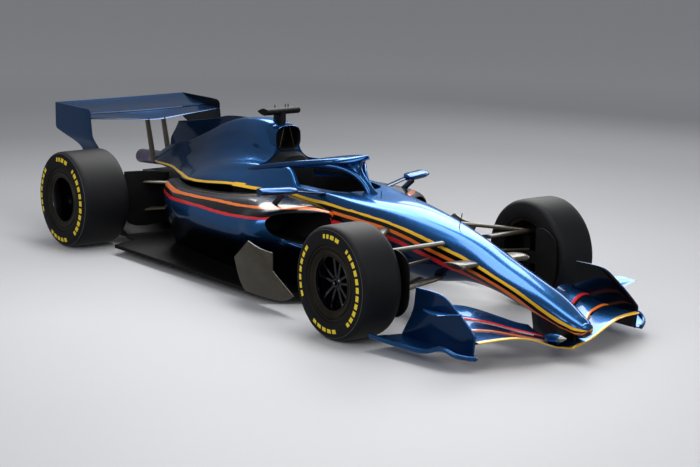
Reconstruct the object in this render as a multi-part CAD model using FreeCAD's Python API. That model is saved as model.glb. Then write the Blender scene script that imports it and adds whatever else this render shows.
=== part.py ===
import FreeCAD, Part
import math
import os

Vector = FreeCAD.Vector

# Overall lengths of the car, all in millimetres.
wheelbase = 3400.0
front_overhang = 1280.0
rear_overhang = 735.0
half_width = 950.0
wing_height = 1000.0

# Wheels and tyres.
front_tyre_radius = 357.0
front_tyre_width = 310.0
rear_tyre_radius = 360.0
rear_tyre_width = 400.0
rim_radius = 236.0
rim_opening_radius = 163.0
rim_barrel_wall = 21.0
rim_inset = 12.0
rim_disc_thickness = 18.0
front_disc_depth = 55.0
rear_disc_depth = 190.0
bead_gap = 0.3
hub_radius = 46.0
hub_length = 70.0
hub_bore_radius = 24.0
nut_radius = 30.0
nut_length = 26.0
spoke_pairs = 5
spoke_width = 17.0
spoke_spread_deg = 15.0
running_clearance = 0.05
face_clearance = 0.3

# Uprights and brakes.
kingpin_inset = 250.0
kingpin_radius = 9.0
kingpin_overhang = 4.0
eye_radius = 22.0
eye_height = 20.0
eye_offset = 150.0
leg_gap = 18.0
spine_width = 60.0
drum_radius = 205.0
drum_wall = 5.0
drum_depth = 150.0
fence_radius = 232.0
leg_window = 310.0
leg_window_depth = 50.0
drum_facets = 24
arm_thickness = 24.0
arm_chord = 62.0
rear_arm_chord = 93.0
rod_radius = 9.0
shaft_radius = 20.0
gearbox_half_width = 150.0

# Body shell, cockpit and floor.
cockpit_floor_share = 0.130
surround_height = 45.0
floor_thickness = 26.0
ground_clearance = 52.0
plank_thickness = 14.0
plank_half_width = 150.0
fin_thickness = 10.0
plate_thickness = 12.0
tyre_gap = 12.0
board_thickness = 10.0
board_lean = 0.31
mirror_stay_chord = 34.0
mirror_strut_chord = 44.0
mirror_stay_thickness = 8.0
aerial_radius = 4.0
stalk_chord = 90.0
stalk_thickness = 28.0
wing_pylon_chord = 62.0
wing_pylon_thickness = 12.0
exhaust_radius = 55.0
exhaust_wall = 5.0
exhaust_facets = 18
halo_tube = 46.0
halo_pillar = 26.0
column_radius = 18.0
column_length = 110.0
column_tilt_deg = 18.0
steering_wheel_width = 270.0
steering_wheel_height = 170.0
steering_wheel_thickness = 30.0
steering_rim = 34.0
overrun = 40.0

overall_length = front_overhang + wheelbase + rear_overhang
front_axle_x = overall_length / 2 - front_overhang
rear_axle_x = front_axle_x - wheelbase

ring_points = 16
flatness = 1e-6
wheel_facets = 40


def along(share):
    # 1 is the nose tip, 0 the front axle, -1 the rear axle and -2 the rear wing's trailing edge.
    if share >= 0:
        return front_axle_x + share * front_overhang
    if share >= -1:
        return front_axle_x + share * wheelbase
    return rear_axle_x + (share + 1) * rear_overhang


def across(share):
    return share * half_width


def up(share):
    return share * wing_height


def place(along_share, across_share, up_share):
    return Vector(along(along_share), across(across_share), up(up_share))


def mirrored(shape):
    return shape.mirror(Vector(0, 0, 0), Vector(0, 1, 0))


def fused(shapes):
    joined = shapes[0].fuse(shapes[1:])
    return joined.removeSplitter()


def largest(shape):
    return max(shape.Solids, key=lambda solid: solid.Volume)


def group(shapes):
    return Part.makeCompound(shapes)


def polygon(points):
    return Part.makePolygon(points + points[:1])


def closed_solid(faces):
    shell = Part.makeShell(faces)
    shell.sewShape()
    solid = Part.makeSolid(shell)
    if solid.Volume < 0:
        solid.reverse()
    return solid


def patch(a, b, c, d):
    # One flat face over four corners, or two that meet on the shorter diagonal.
    corners = [a, b, c, d]
    normal = (b - a).cross(c - a)
    if abs(normal.dot(d - a)) < flatness * max(normal.Length, flatness):
        outlines = [corners]
    elif (a - c).Length <= (b - d).Length:
        outlines = [[a, b, c], [a, c, d]]
    else:
        outlines = [[a, b, d], [b, c, d]]
    return [Part.Face(polygon(outline)) for outline in outlines]


def skinned(sections):
    # A closed solid with flat facets between sections of equally many corners.
    faces = [Part.Face(polygon(sections[0])), Part.Face(polygon(sections[-1]))]
    for near, far in zip(sections, sections[1:]):
        for index in range(len(near)):
            after = (index + 1) % len(near)
            faces += patch(near[index], near[after], far[after], far[index])
    return closed_solid(faces)


def smoothed(rows):
    # Rows of numbers with one more row between each two, on a smooth curve through them all.
    finer = []
    for index in range(len(rows) - 1):
        before = rows[max(index - 1, 0)]
        after = rows[min(index + 2, len(rows) - 1)]
        pairs = zip(before, rows[index], rows[index + 1], after)
        finer.append(rows[index])
        finer.append(tuple((9 * (b + c) - a - d) / 16 for a, b, c, d in pairs))
    finer.append(rows[-1])
    return finer


def box(low, high):
    size = high - low
    return Part.makeBox(size.x, size.y, size.z, low)


def rod(start, end, radius):
    run = end - start
    return Part.makeCylinder(radius, run.Length, start, run)


def ring(along_share, width_share, top_share, bottom_share, fullness=0.7):
    # A rounded, squarish body section; a smaller fullness gives squarer corners.
    middle = (up(top_share) + up(bottom_share)) / 2
    half_height = (up(top_share) - up(bottom_share)) / 2
    points = []
    for index in range(ring_points):
        turn = 2 * math.pi * index / ring_points
        y = math.copysign(abs(math.cos(turn)) ** fullness, math.cos(turn)) * across(width_share)
        z = middle + math.copysign(abs(math.sin(turn)) ** fullness, math.sin(turn)) * half_height
        points.append(Vector(along(along_share), y, z))
    return points


def section(along_share, outline_shares):
    return [place(along_share, y, z) for y, z in outline_shares]


def smoothed_outlines(outlines):
    flat = [(share, *(n for pair in outline for n in pair)) for share, outline in outlines.items()]
    return [(row[0], list(zip(row[1::2], row[2::2]))) for row in smoothed(flat)]


def both_sides(along_share, half_outline_shares):
    # half_outline_shares runs from the top of the centre line down one side to its bottom.
    other_side = [(-y, z) for y, z in reversed(half_outline_shares) if y > 0]
    return section(along_share, half_outline_shares + other_side)


def aerofoil(leading, trailing, thickness_share=0.1, camber_share=0.08):
    # A wing section between two points at one span station, cambered downwards as on a racing car.
    chord = trailing - leading
    rise = chord.cross(Vector(0, 1, 0))
    if rise.z < 0:
        rise = rise * -1
    upper_shares = [(0.04, 0.30), (0.30, 0.50), (0.65, 0.32)]
    lower_shares = [(0.65, -0.32), (0.30, -0.50), (0.04, -0.30)]

    def station(forward, height):
        sag = 4 * camber_share * forward * (1 - forward)
        return leading + chord * forward + rise * (height * thickness_share - sag)

    upper = [leading] + [station(f, h) for f, h in upper_shares] + [station(1.0, 0.08)]
    lower = [station(1.0, -0.08)] + [station(f, h) for f, h in lower_shares]
    return upper + lower


def wing(stations_shares, thickness_share=0.1, camber_share=0.08):
    # Each station gives its span place, then the leading and trailing edges along and up.
    sections = []
    for span, lead_x, lead_z, trail_x, trail_z in stations_shares:
        leading = place(lead_x, span, lead_z)
        trailing = place(trail_x, span, trail_z)
        sections.append(aerofoil(leading, trailing, thickness_share, camber_share))
    return skinned(sections)


def upright_plate(outline_shares, across_share, thickness):
    # A plate that stands along the car, centred on across_share.
    face = Part.Face(polygon([place(x, across_share, z) for x, z in outline_shares]))
    plate = face.extrude(Vector(0, thickness, 0))
    plate.translate(Vector(0, -thickness / 2, 0))
    return plate


def strut(start, end, chord, thickness):
    # A suspension leg or pylon: a flattened oval section, its chord along the car.
    run = end - start
    run.normalize()
    wide = Vector(1, 0, 0) - run * run.x
    wide.normalize()
    thin = run.cross(wide)
    sections = []
    for centre in (start, end):
        oval = []
        for index in range(8):
            turn = math.pi * index / 4
            oval.append(centre + wide * (math.cos(turn) * chord / 2) + thin * (math.sin(turn) * thickness / 2))
        sections.append(oval)
    return skinned(sections)


# Survival cell and nose

nose_shares = [
    (0.234, 0.175, 0.612, 0.312, 0.72),
    (0.47, 0.156, 0.512, 0.295, 0.74),
    (0.62, 0.139, 0.440, 0.252, 0.76),
    (0.78, 0.118, 0.352, 0.200, 0.80),
    (0.91, 0.093, 0.278, 0.160, 0.85),
    (0.975, 0.066, 0.242, 0.160, 0.95),
    (1.0, 0.024, 0.215, 0.180, 1.0),
]

cell_shares = {
    0.234: [
        (0, 0.612), (0.087, 0.604), (0.136, 0.579), (0.165, 0.537), (0.175, 0.462), (0.165, 0.387),
        (0.136, 0.345), (0.087, 0.32), (0, 0.312),
    ],
    0.0: [
        (0, 0.652), (0.109, 0.641), (0.168, 0.61), (0.203, 0.557), (0.215, 0.457), (0.203, 0.357),
        (0.168, 0.304), (0.109, 0.273), (0, 0.262),
    ],
    -0.1: [
        (0, 0.7), (0.131, 0.689), (0.198, 0.654), (0.237, 0.595), (0.25, 0.481), (0.237, 0.367),
        (0.198, 0.308), (0.131, 0.274), (0, 0.262),
    ],
    -0.2118: [
        (0, 0.704), (0.179, 0.702), (0.253, 0.678), (0.289, 0.612), (0.301, 0.48), (0.295, 0.36),
        (0.268, 0.27), (0.189, 0.212), (0, 0.2),
    ],
    -0.2794: [
        (0, 0.71), (0.232, 0.71), (0.28, 0.7), (0.316, 0.63), (0.328, 0.5), (0.323, 0.35),
        (0.3, 0.23), (0.221, 0.16), (0, 0.15),
    ],
    -0.3235: [
        (0, 0.712), (0.268, 0.712), (0.309, 0.702), (0.337, 0.64), (0.347, 0.5), (0.345, 0.3),
        (0.326, 0.16), (0.263, 0.108), (0, 0.1),
    ],
    -0.3824: [
        (0, 0.712), (0.276, 0.712), (0.32, 0.704), (0.343, 0.65), (0.349, 0.5), (0.349, 0.3),
        (0.337, 0.13), (0.274, 0.088), (0, 0.079),
    ],
    -0.4412: [
        (0, 0.692), (0.282, 0.692), (0.324, 0.682), (0.345, 0.64), (0.35, 0.5), (0.35, 0.3),
        (0.337, 0.12), (0.274, 0.082), (0, 0.079),
    ],
    -0.5441: [
        (0, 0.665), (0.282, 0.665), (0.324, 0.655), (0.345, 0.62), (0.35, 0.5), (0.35, 0.3),
        (0.337, 0.12), (0.274, 0.082), (0, 0.079),
    ],
}

cockpit_shares = [
    (-0.262, 0.120),
    (-0.275, 0.185),
    (-0.320, 0.232),
    (-0.400, 0.250),
    (-0.465, 0.235),
    (-0.492, 0.160),
]

sill_top_share = 0.702
cell_end_share = -0.5441


def nose_cone():
    return skinned([ring(*row) for row in smoothed(nose_shares)])


def column_axis():
    tilt = math.radians(column_tilt_deg)
    return Vector(-math.cos(tilt), 0, math.sin(tilt))


def column_root():
    return place(cockpit_shares[0][0], 0, 0.545)


def cockpit_outline(height):
    left = [Vector(along(x), across(y), height) for x, y in cockpit_shares]
    right = [Vector(p.x, -p.y, p.z) for p in reversed(left)]
    return left + right


def survival_cell():
    cell = skinned([both_sides(share, outline) for share, outline in smoothed_outlines(cell_shares)])
    floor_top = ground_clearance + floor_thickness
    below = box(Vector(along(-2), -half_width, -overrun), Vector(along(1), half_width, floor_top))
    cell = cell.cut(below)
    hollow = skinned([cockpit_outline(up(cockpit_floor_share)), cockpit_outline(up(1.0))])
    bore_start = column_root() - column_axis() * column_length
    bore = rod(bore_start, column_root() + column_axis() * column_length, column_radius + running_clearance)
    return cell.cut(hollow).cut(bore)


fairing_shares = {
    -0.3721: [
        (0.276, 0.712), (0.305, 0.712), (0.316, 0.708), (0.324, 0.7), (0.331, 0.69), (0.331, 0.66),
        (0.276, 0.66),
    ],
    -0.3956: [
        (0.276, 0.812), (0.307, 0.808), (0.32, 0.76), (0.335, 0.715), (0.349, 0.675), (0.349, 0.64),
        (0.276, 0.64),
    ],
    -0.4324: [
        (0.276, 0.812), (0.314, 0.8), (0.339, 0.75), (0.366, 0.7), (0.395, 0.655), (0.389, 0.612),
        (0.276, 0.612),
    ],
    -0.4706: [
        (0.276, 0.8), (0.316, 0.786), (0.349, 0.74), (0.385, 0.695), (0.423, 0.65), (0.413, 0.603),
        (0.276, 0.603),
    ],
    -0.5176: [
        (0.276, 0.788), (0.303, 0.772), (0.345, 0.735), (0.396, 0.69), (0.446, 0.648),
        (0.432, 0.598), (0.276, 0.598),
    ],
    -0.5441: [
        (0.268, 0.784), (0.295, 0.768), (0.339, 0.732), (0.405, 0.685), (0.453, 0.645),
        (0.442, 0.596), (0.276, 0.59),
    ],
}

horseshoe_outer_shares = [(-0.400, 0.300), (-0.480, 0.300), (-0.535, 0.270)]
horseshoe_inner_shares = [(-0.400, 0.256), (-0.465, 0.241), (-0.497, 0.166)]
seat_profile_shares = [
    (-0.330, 0.185),
    (-0.440, 0.150),
    (-0.470, 0.600),
    (-0.482, 0.600),
    (-0.476, cockpit_floor_share),
    (-0.330, cockpit_floor_share),
]
seat_half_share = 0.155


def shoulder_fairing():
    return skinned([section(share, outline) for share, outline in fairing_shares.items()])


def cockpit_surround():
    # The padded horseshoe round the rear of the cockpit opening, and the shoulders that rise to the halo.
    base = up(sill_top_share)
    left_outer = [Vector(along(x), across(y), base) for x, y in horseshoe_outer_shares]
    left_inner = [Vector(along(x), across(y), base) for x, y in horseshoe_inner_shares]
    right_outer = [Vector(p.x, -p.y, p.z) for p in reversed(left_outer)]
    right_inner = [Vector(p.x, -p.y, p.z) for p in reversed(left_inner)]
    wire = polygon(left_outer + right_outer + list(reversed(right_inner)) + list(reversed(left_inner)))
    raised = Part.Face(wire).extrude(Vector(0, 0, surround_height))
    deep = raised.copy()
    deep.translate(Vector(0, 0, -surround_height))
    fairing = shoulder_fairing()
    return fused([raised, deep, fairing, mirrored(fairing)]).cut(survival_cell()).cut(halo())


def seat():
    base = [place(x, -seat_half_share, z) for x, z in seat_profile_shares]
    shell = Part.Face(polygon(base)).extrude(Vector(0, 2 * across(seat_half_share), 0))
    return shell.cut(survival_cell())


def steering_wheel_centre():
    return column_root() + column_axis() * column_length


def on_wheel(sideways, upwards):
    tilt = math.radians(column_tilt_deg)
    rise = Vector(math.sin(tilt), 0, math.cos(tilt))
    return steering_wheel_centre() + Vector(0, sideways, 0) + rise * upwards


wheel_corner_shares = [(1, 0.7), (0.6, 1), (-0.6, 1), (-1, 0.7), (-1, -0.6), (-0.7, -1), (0.7, -1), (1, -0.6)]
grip_corner_shares = [(1, 0.35), (0.62, 0.35), (0.62, -0.35), (1, -0.35)]


def steering_wheel():
    half_w = steering_wheel_width / 2
    half_h = steering_wheel_height / 2
    outline = [on_wheel(half_w * c, half_h * s) for c, s in wheel_corner_shares]
    plate = Part.Face(polygon(outline)).extrude(column_axis() * steering_wheel_thickness)
    for side in (1, -1):
        reach = side * (half_w - steering_rim)
        grip = [on_wheel(reach * c, half_h * s) for c, s in grip_corner_shares]
        window = Part.Face(polygon(grip)).extrude(column_axis() * steering_wheel_thickness * 3)
        window.translate(column_axis() * -steering_wheel_thickness)
        plate = plate.cut(window)
    return plate


def steering_column():
    start = column_root() - column_axis() * (column_length - face_clearance)
    return rod(start, steering_wheel_centre(), column_radius)


# Halo and roll structure

halo_shares = [
    (-0.2662, 0, 0.92),
    (-0.2779, 0.061, 0.916),
    (-0.3015, 0.126, 0.904),
    (-0.3324, 0.181, 0.886),
    (-0.3706, 0.226, 0.862),
    (-0.4176, 0.265, 0.834),
    (-0.4706, 0.289, 0.799),
    (-0.5206, 0.298, 0.764),
]


def bar(points, heights, widths):
    sections = []
    last = len(points) - 1
    for index, centre in enumerate(points):
        ahead = points[min(index + 1, last)]
        behind = points[max(index - 1, 0)]
        run = ahead - behind
        run.normalize()
        side = run.cross(Vector(0, 0, 1))
        side.normalize()
        top = side.cross(run)
        oval = []
        for step in range(8):
            turn = math.pi * step / 4
            reach = side * (math.cos(turn) * widths[index] / 2)
            oval.append(centre + reach + top * (math.sin(turn) * heights[index] / 2))
        sections.append(oval)
    return skinned(sections)


pillar_rows = [
    (-0.226, 0.640, 3.0),
    (-0.240, 0.750, 2.7),
    (-0.256, 0.840, 2.3),
    (-0.265, 0.920, 1.8),
]


def halo():
    left = [place(*row) for row in smoothed(halo_shares)]
    right = [Vector(p.x, -p.y, p.z) for p in reversed(left[1:])]
    hoop_points = right + left
    hoop = bar(hoop_points, [halo_tube] * len(hoop_points), [halo_tube] * len(hoop_points))
    sections = []
    for x, z, chord_share in pillar_rows:
        half_chord = halo_tube * chord_share / 2
        oval = []
        for step in range(8):
            turn = math.pi * step / 4
            reach = Vector(math.cos(turn) * half_chord, math.sin(turn) * halo_pillar / 2, 0)
            oval.append(place(x, 0, z) + reach)
        sections.append(oval)
    return fused([hoop, skinned(sections)]).cut(survival_cell())


intake_shares = [
    (-0.523, 0.113, 1.044, 0.864, 0.80),
    (-0.540, 0.122, 1.050, 0.856, 0.80),
    (-0.572, 0.128, 1.054, 0.850, 0.80),
]

intake_mouth_shares = [
    (-0.512, 0.098, 1.031, 0.878, 0.80),
    (-0.542, 0.100, 1.031, 0.880, 0.80),
    (-0.566, 0.080, 1.010, 0.900, 0.80),
]

headrest_shares = {
    -0.498: [(0, 0.838), (0.062, 0.834), (0.108, 0.802), (0.150, 0.735), (0.165, 0.665), (0, 0.665)],
    -0.544: [(0, 0.862), (0.105, 0.858), (0.160, 0.812), (0.235, 0.780), (0.268, 0.665), (0, 0.665)],
}


def intake_envelope():
    return skinned([ring(*row) for row in intake_shares])


def air_intake():
    return intake_envelope().cut(skinned([ring(*row) for row in intake_mouth_shares]))


def headrest():
    block = skinned([both_sides(share, outline) for share, outline in headrest_shares.items()])
    return block.cut(survival_cell()).cut(intake_envelope()).cut(cockpit_surround()).cut(halo())


# Engine cover

cover_shares = {
    -0.5441: [
        (0, 1.05), (0.079, 1.04), (0.118, 0.985), (0.124, 0.9), (0.135, 0.84), (0.2, 0.8),
        (0.276, 0.782), (0.337, 0.735), (0.405, 0.685), (0.453, 0.645), (0.316, 0.585), (0, 0.575),
    ],
    -0.6471: [
        (0, 1.056), (0.065, 1.044), (0.105, 0.985), (0.118, 0.905), (0.145, 0.835), (0.211, 0.778),
        (0.289, 0.738), (0.363, 0.69), (0.426, 0.648), (0.455, 0.612), (0.316, 0.555), (0, 0.545),
    ],
    -0.7353: [
        (0, 0.998), (0.047, 0.985), (0.084, 0.925), (0.111, 0.855), (0.153, 0.785), (0.216, 0.72),
        (0.284, 0.672), (0.353, 0.635), (0.405, 0.607), (0.421, 0.588), (0.284, 0.54), (0, 0.53),
    ],
    -0.8235: [
        (0, 0.885), (0.037, 0.872), (0.068, 0.82), (0.1, 0.765), (0.137, 0.712), (0.184, 0.668),
        (0.232, 0.632), (0.268, 0.607), (0.289, 0.59), (0.295, 0.572), (0.2, 0.535), (0, 0.525),
    ],
    -0.9118: [
        (0, 0.775), (0.029, 0.765), (0.053, 0.735), (0.076, 0.705), (0.1, 0.675), (0.124, 0.65),
        (0.145, 0.627), (0.16, 0.607), (0.168, 0.59), (0.171, 0.572), (0.116, 0.545), (0, 0.54),
    ],
    -1: [
        (0, 0.69), (0.023, 0.684), (0.042, 0.668), (0.059, 0.65), (0.074, 0.633), (0.086, 0.617),
        (0.097, 0.602), (0.105, 0.588), (0.109, 0.576), (0.109, 0.566), (0.074, 0.552), (0, 0.55),
    ],
    -1.1361: [
        (0, 0.64), (0.019, 0.637), (0.034, 0.628), (0.046, 0.617), (0.057, 0.606), (0.065, 0.596),
        (0.072, 0.587), (0.075, 0.578), (0.075, 0.57), (0.074, 0.562), (0.053, 0.553), (0, 0.55),
    ],
}

fin_shares = [
    (-0.660, 1.046),
    (-0.751, 1.026),
    (-0.811, 0.981),
    (-0.953, 0.908),
    (-0.966, 0.849),
    (-0.986, 0.769),
    (-0.991, 0.680),
    (-0.780, 0.880),
]


def cover_shell():
    return skinned([both_sides(share, outline) for share, outline in smoothed_outlines(cover_shares)])


def engine_cover():
    fin = upright_plate(fin_shares, 0, fin_thickness)
    return largest(fused([cover_shell(), fin]).cut(intake_envelope()))


# Sidepods

pod_shares = {
    -0.2471: [
        (0.289, 0.6), (0.337, 0.604), (0.363, 0.597), (0.376, 0.575), (0.379, 0.52), (0.381, 0.45),
        (0.405, 0.415), (0.484, 0.408), (0.547, 0.4), (0.566, 0.386), (0.474, 0.362), (0.289, 0.33),
    ],
    -0.2824: [
        (0.289, 0.625), (0.4, 0.632), (0.479, 0.62), (0.526, 0.595), (0.558, 0.555), (0.574, 0.505),
        (0.585, 0.46), (0.616, 0.43), (0.635, 0.408), (0.621, 0.382), (0.505, 0.34), (0.289, 0.25),
    ],
    -0.3235: [
        (0.289, 0.64), (0.474, 0.642), (0.6, 0.626), (0.689, 0.594), (0.742, 0.55), (0.756, 0.5),
        (0.745, 0.45), (0.695, 0.405), (0.611, 0.35), (0.537, 0.27), (0.474, 0.16), (0.442, 0.06),
    ],
    -0.3971: [
        (0.289, 0.645), (0.442, 0.652), (0.568, 0.642), (0.663, 0.603), (0.726, 0.553),
        (0.758, 0.495), (0.753, 0.43), (0.695, 0.355), (0.611, 0.275), (0.537, 0.18), (0.495, 0.11),
        (0.479, 0.06),
    ],
    -0.5: [
        (0.289, 0.615), (0.442, 0.617), (0.579, 0.612), (0.674, 0.58), (0.726, 0.528), (0.749, 0.47),
        (0.739, 0.405), (0.684, 0.33), (0.605, 0.255), (0.537, 0.17), (0.5, 0.11), (0.484, 0.06),
    ],
    -0.6176: [
        (0.211, 0.575), (0.421, 0.577), (0.547, 0.58), (0.632, 0.555), (0.679, 0.505), (0.7, 0.445),
        (0.686, 0.38), (0.637, 0.31), (0.568, 0.235), (0.505, 0.16), (0.474, 0.11), (0.463, 0.06),
    ],
    -0.7206: [
        (0.189, 0.555), (0.347, 0.556), (0.463, 0.562), (0.542, 0.545), (0.584, 0.497),
        (0.605, 0.435), (0.592, 0.37), (0.547, 0.3), (0.489, 0.225), (0.442, 0.155), (0.416, 0.11),
        (0.405, 0.06),
    ],
    -0.8088: [
        (0.189, 0.55), (0.274, 0.553), (0.363, 0.562), (0.426, 0.55), (0.458, 0.5), (0.465, 0.435),
        (0.457, 0.37), (0.434, 0.3), (0.405, 0.225), (0.379, 0.155), (0.363, 0.11), (0.353, 0.06),
    ],
}

inlet_shares = {
    -0.2059: [
        (0.316, 0.588), (0.474, 0.592), (0.653, 0.585), (0.821, 0.565), (0.842, 0.5), (0.737, 0.43),
        (0.579, 0.395), (0.421, 0.385), (0.316, 0.39),
    ],
    -0.3176: [
        (0.389, 0.59), (0.474, 0.597), (0.589, 0.592), (0.674, 0.572), (0.716, 0.54), (0.705, 0.49),
        (0.642, 0.44), (0.526, 0.41), (0.389, 0.405),
    ],
    -0.3824: [
        (0.4, 0.58), (0.474, 0.585), (0.547, 0.582), (0.621, 0.565), (0.653, 0.535), (0.642, 0.5),
        (0.589, 0.455), (0.505, 0.43), (0.4, 0.425),
    ],
}

pod_wall_share = 0.215


def sidepod():
    shell = skinned([section(share, outline) for share, outline in smoothed_outlines(pod_shares)])
    shell = shell.cut(skinned([section(share, outline) for share, outline in inlet_shares.items()]))
    rear, front = along(-2), along(1)
    inboard = box(
        Vector(rear, -half_width, -overrun),
        Vector(front, across(pod_wall_share), 2 * wing_height),
    )
    below = box(Vector(rear, 0, -overrun), Vector(front, half_width, ground_clearance + floor_thickness))
    shell = shell.cut(inboard).cut(below).cut(survival_cell())
    return shell.cut(cover_shell()).cut(shoulder_fairing())


# Floor, plank and diffuser

floor_shares = [
    (-0.200, 0.180),
    (-0.265, 0.620),
    (-0.300, 0.790),
    (-0.860, 0.800),
    (-0.885, 0.560),
    (-0.940, 0.535),
]


def floor_panel():
    left = [Vector(along(x), across(y), ground_clearance) for x, y in floor_shares]
    right = [Vector(p.x, -p.y, p.z) for p in reversed(left)]
    return Part.Face(polygon(left + right)).extrude(Vector(0, 0, floor_thickness))


def plank():
    low = Vector(along(floor_shares[-1][0]), -plank_half_width, ground_clearance - plank_thickness)
    high = Vector(along(floor_shares[0][0]), plank_half_width, ground_clearance)
    return box(low, high)


def diffuser():
    throat_share = floor_shares[-1][0]
    exit_share = -1.43
    exit_height = up(0.300)
    throat = along(throat_share)
    exit_x = along(exit_share)
    half_span = across(0.516)
    roof = [
        Vector(throat, -half_span, ground_clearance),
        Vector(throat, -half_span, ground_clearance + floor_thickness),
        Vector(exit_x, -half_span, exit_height),
        Vector(exit_x, -half_span, exit_height - plate_thickness),
    ]
    panel = Part.Face(polygon(roof)).extrude(Vector(0, 2 * half_span, 0))
    strakes = [panel]
    for share in (-1, -0.62, -0.3, 0.3, 0.62, 1):
        fence = [
            Vector(throat, 0, ground_clearance),
            Vector(exit_x, 0, exit_height - plate_thickness),
            Vector(exit_x, 0, ground_clearance + up(0.03)),
            Vector(along(-1.1), 0, ground_clearance),
        ]
        strake = Part.Face(polygon(fence)).extrude(Vector(0, plate_thickness / 2, 0))
        strake.translate(Vector(0, share * (half_span - plate_thickness / 2) - plate_thickness / 4, 0))
        strakes.append(strake)
    return fused(strakes)


board_shares = [
    (-0.211, 0.415),
    (-0.242, 0.418),
    (-0.257, 0.423),
    (-0.288, 0.450),
    (-0.357, 0.296),
    (-0.359, 0.120),
    (-0.350, 0.060),
    (-0.287, 0.060),
    (-0.222, 0.077),
    (-0.176, 0.141),
    (-0.212, 0.236),
    (-0.228, 0.285),
]
board_foot_share = 0.7935


def wake_board():
    # The board leans outwards from the floor's edge to its top.
    foot_height = up(board_shares[-6][1])
    corners = []
    for x, z in board_shares:
        y = across(board_foot_share) + board_lean * (up(z) - foot_height) - board_thickness / 2
        corners.append(Vector(along(x), y, up(z)))
    board = Part.Face(polygon(corners)).extrude(Vector(0, board_thickness, 0))
    return board.cut(floor_panel())


# Mirrors, camera and nose stubs

mirror_rows = [(-0.302, 0.500), (-0.311, 0.620), (-0.324, 0.740)]
mirror_profile_shares = [(0.014, 0.738), (0.002, 0.768), (-0.014, 0.764), (-0.014, 0.706), (0.000, 0.700)]
camera_edges_shares = [(-0.538, 1.138), (-0.576, 1.134)]
stub_edges_shares = [(0.359, 0.455), (0.219, 0.457)]


def mirror():
    pod = skinned([[place(x + dx, y, z) for dx, z in mirror_profile_shares] for x, y in mirror_rows])
    stay_root = place(-0.292, 0.240, 0.675)
    stay = strut(stay_root, place(-0.303, 0.540, 0.732), mirror_stay_chord, mirror_stay_thickness)
    foot_root = place(-0.350, 0.578, 0.606)
    foot = strut(foot_root, place(-0.309, 0.580, 0.712), mirror_strut_chord, mirror_stay_thickness)
    return largest(fused([pod, stay, foot]).cut(sidepod()).cut(survival_cell()))


def camera_housing():
    (lead_x, lead_z), (trail_x, trail_z) = camera_edges_shares
    middle = (lead_x + trail_x) / 2
    wide = [aerofoil(place(lead_x, y, lead_z), place(trail_x, y, trail_z), 0.28, 0.0) for y in (-0.165, 0.165)]
    stalk = strut(place(middle, 0, 1.030), place(middle, 0, trail_z), stalk_chord, stalk_thickness)
    pieces = [skinned(wide), stalk]
    for y in (-0.04, 0.08):
        pieces.append(rod(place(middle, y, trail_z), place(middle, y, 1.180), aerial_radius))
    return fused(pieces).cut(cover_shell()).cut(intake_envelope())


def nose_stubs():
    (lead_x, lead_z), (trail_x, trail_z) = stub_edges_shares
    sections = []
    for y in (0.100, 0.295):
        sections.append(aerofoil(place(lead_x, y, lead_z), place(trail_x, y, trail_z), 0.22, 0.0))
    stub = skinned(sections).cut(nose_cone()).cut(survival_cell())
    return group([stub, mirrored(stub)])


# Front wing

front_main_shares = [
    (-0.684, 0.824, 0.168, 0.6, 0.18),
    (-0.632, 0.832, 0.17, 0.613, 0.19),
    (-0.526, 0.848, 0.174, 0.642, 0.193),
    (-0.421, 0.874, 0.176, 0.673, 0.185),
    (-0.316, 0.893, 0.157, 0.723, 0.163),
    (-0.211, 0.9, 0.118, 0.754, 0.14),
    (-0.126, 0.9, 0.088, 0.762, 0.11),
    (0, 0.903, 0.062, 0.766, 0.088),
    (0.126, 0.9, 0.088, 0.762, 0.11),
    (0.211, 0.9, 0.118, 0.754, 0.14),
    (0.316, 0.893, 0.157, 0.723, 0.163),
    (0.421, 0.874, 0.176, 0.673, 0.185),
    (0.526, 0.848, 0.174, 0.642, 0.193),
    (0.632, 0.832, 0.17, 0.613, 0.19),
    (0.684, 0.824, 0.168, 0.6, 0.18),
]

front_flap_shares = [
    [
        (0.105, 0.824, 0.099, 0.762, 0.132),
        (0.158, 0.805, 0.112, 0.727, 0.146),
        (0.211, 0.785, 0.125, 0.676, 0.158),
        (0.316, 0.745, 0.147, 0.609, 0.19),
        (0.421, 0.695, 0.169, 0.564, 0.215),
        (0.526, 0.664, 0.178, 0.523, 0.232),
        (0.632, 0.633, 0.174, 0.488, 0.226),
        (0.684, 0.619, 0.165, 0.473, 0.214),
    ],
    [
        (0.105, 0.781, 0.118, 0.68, 0.165),
        (0.158, 0.738, 0.131, 0.625, 0.176),
        (0.211, 0.691, 0.142, 0.574, 0.198),
        (0.316, 0.625, 0.175, 0.498, 0.24),
        (0.421, 0.58, 0.2, 0.452, 0.267),
        (0.526, 0.539, 0.218, 0.406, 0.266),
        (0.632, 0.504, 0.212, 0.363, 0.245),
        (0.684, 0.486, 0.199, 0.342, 0.23),
    ],
]

wing_end_share = 0.684


def front_wing_main_plane():
    return wing(front_main_shares, 0.07, 0.04)


def front_wing_flaps():
    main = front_wing_main_plane()
    return group([largest(wing(row, 0.09, 0.07).cut(main)) for row in front_flap_shares])


front_plate_shares = [
    (0.366, 0.385),
    (0.553, 0.382),
    (0.820, 0.223),
    (0.824, 0.070),
    (0.305, 0.070),
    (0.312, 0.140),
]


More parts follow.
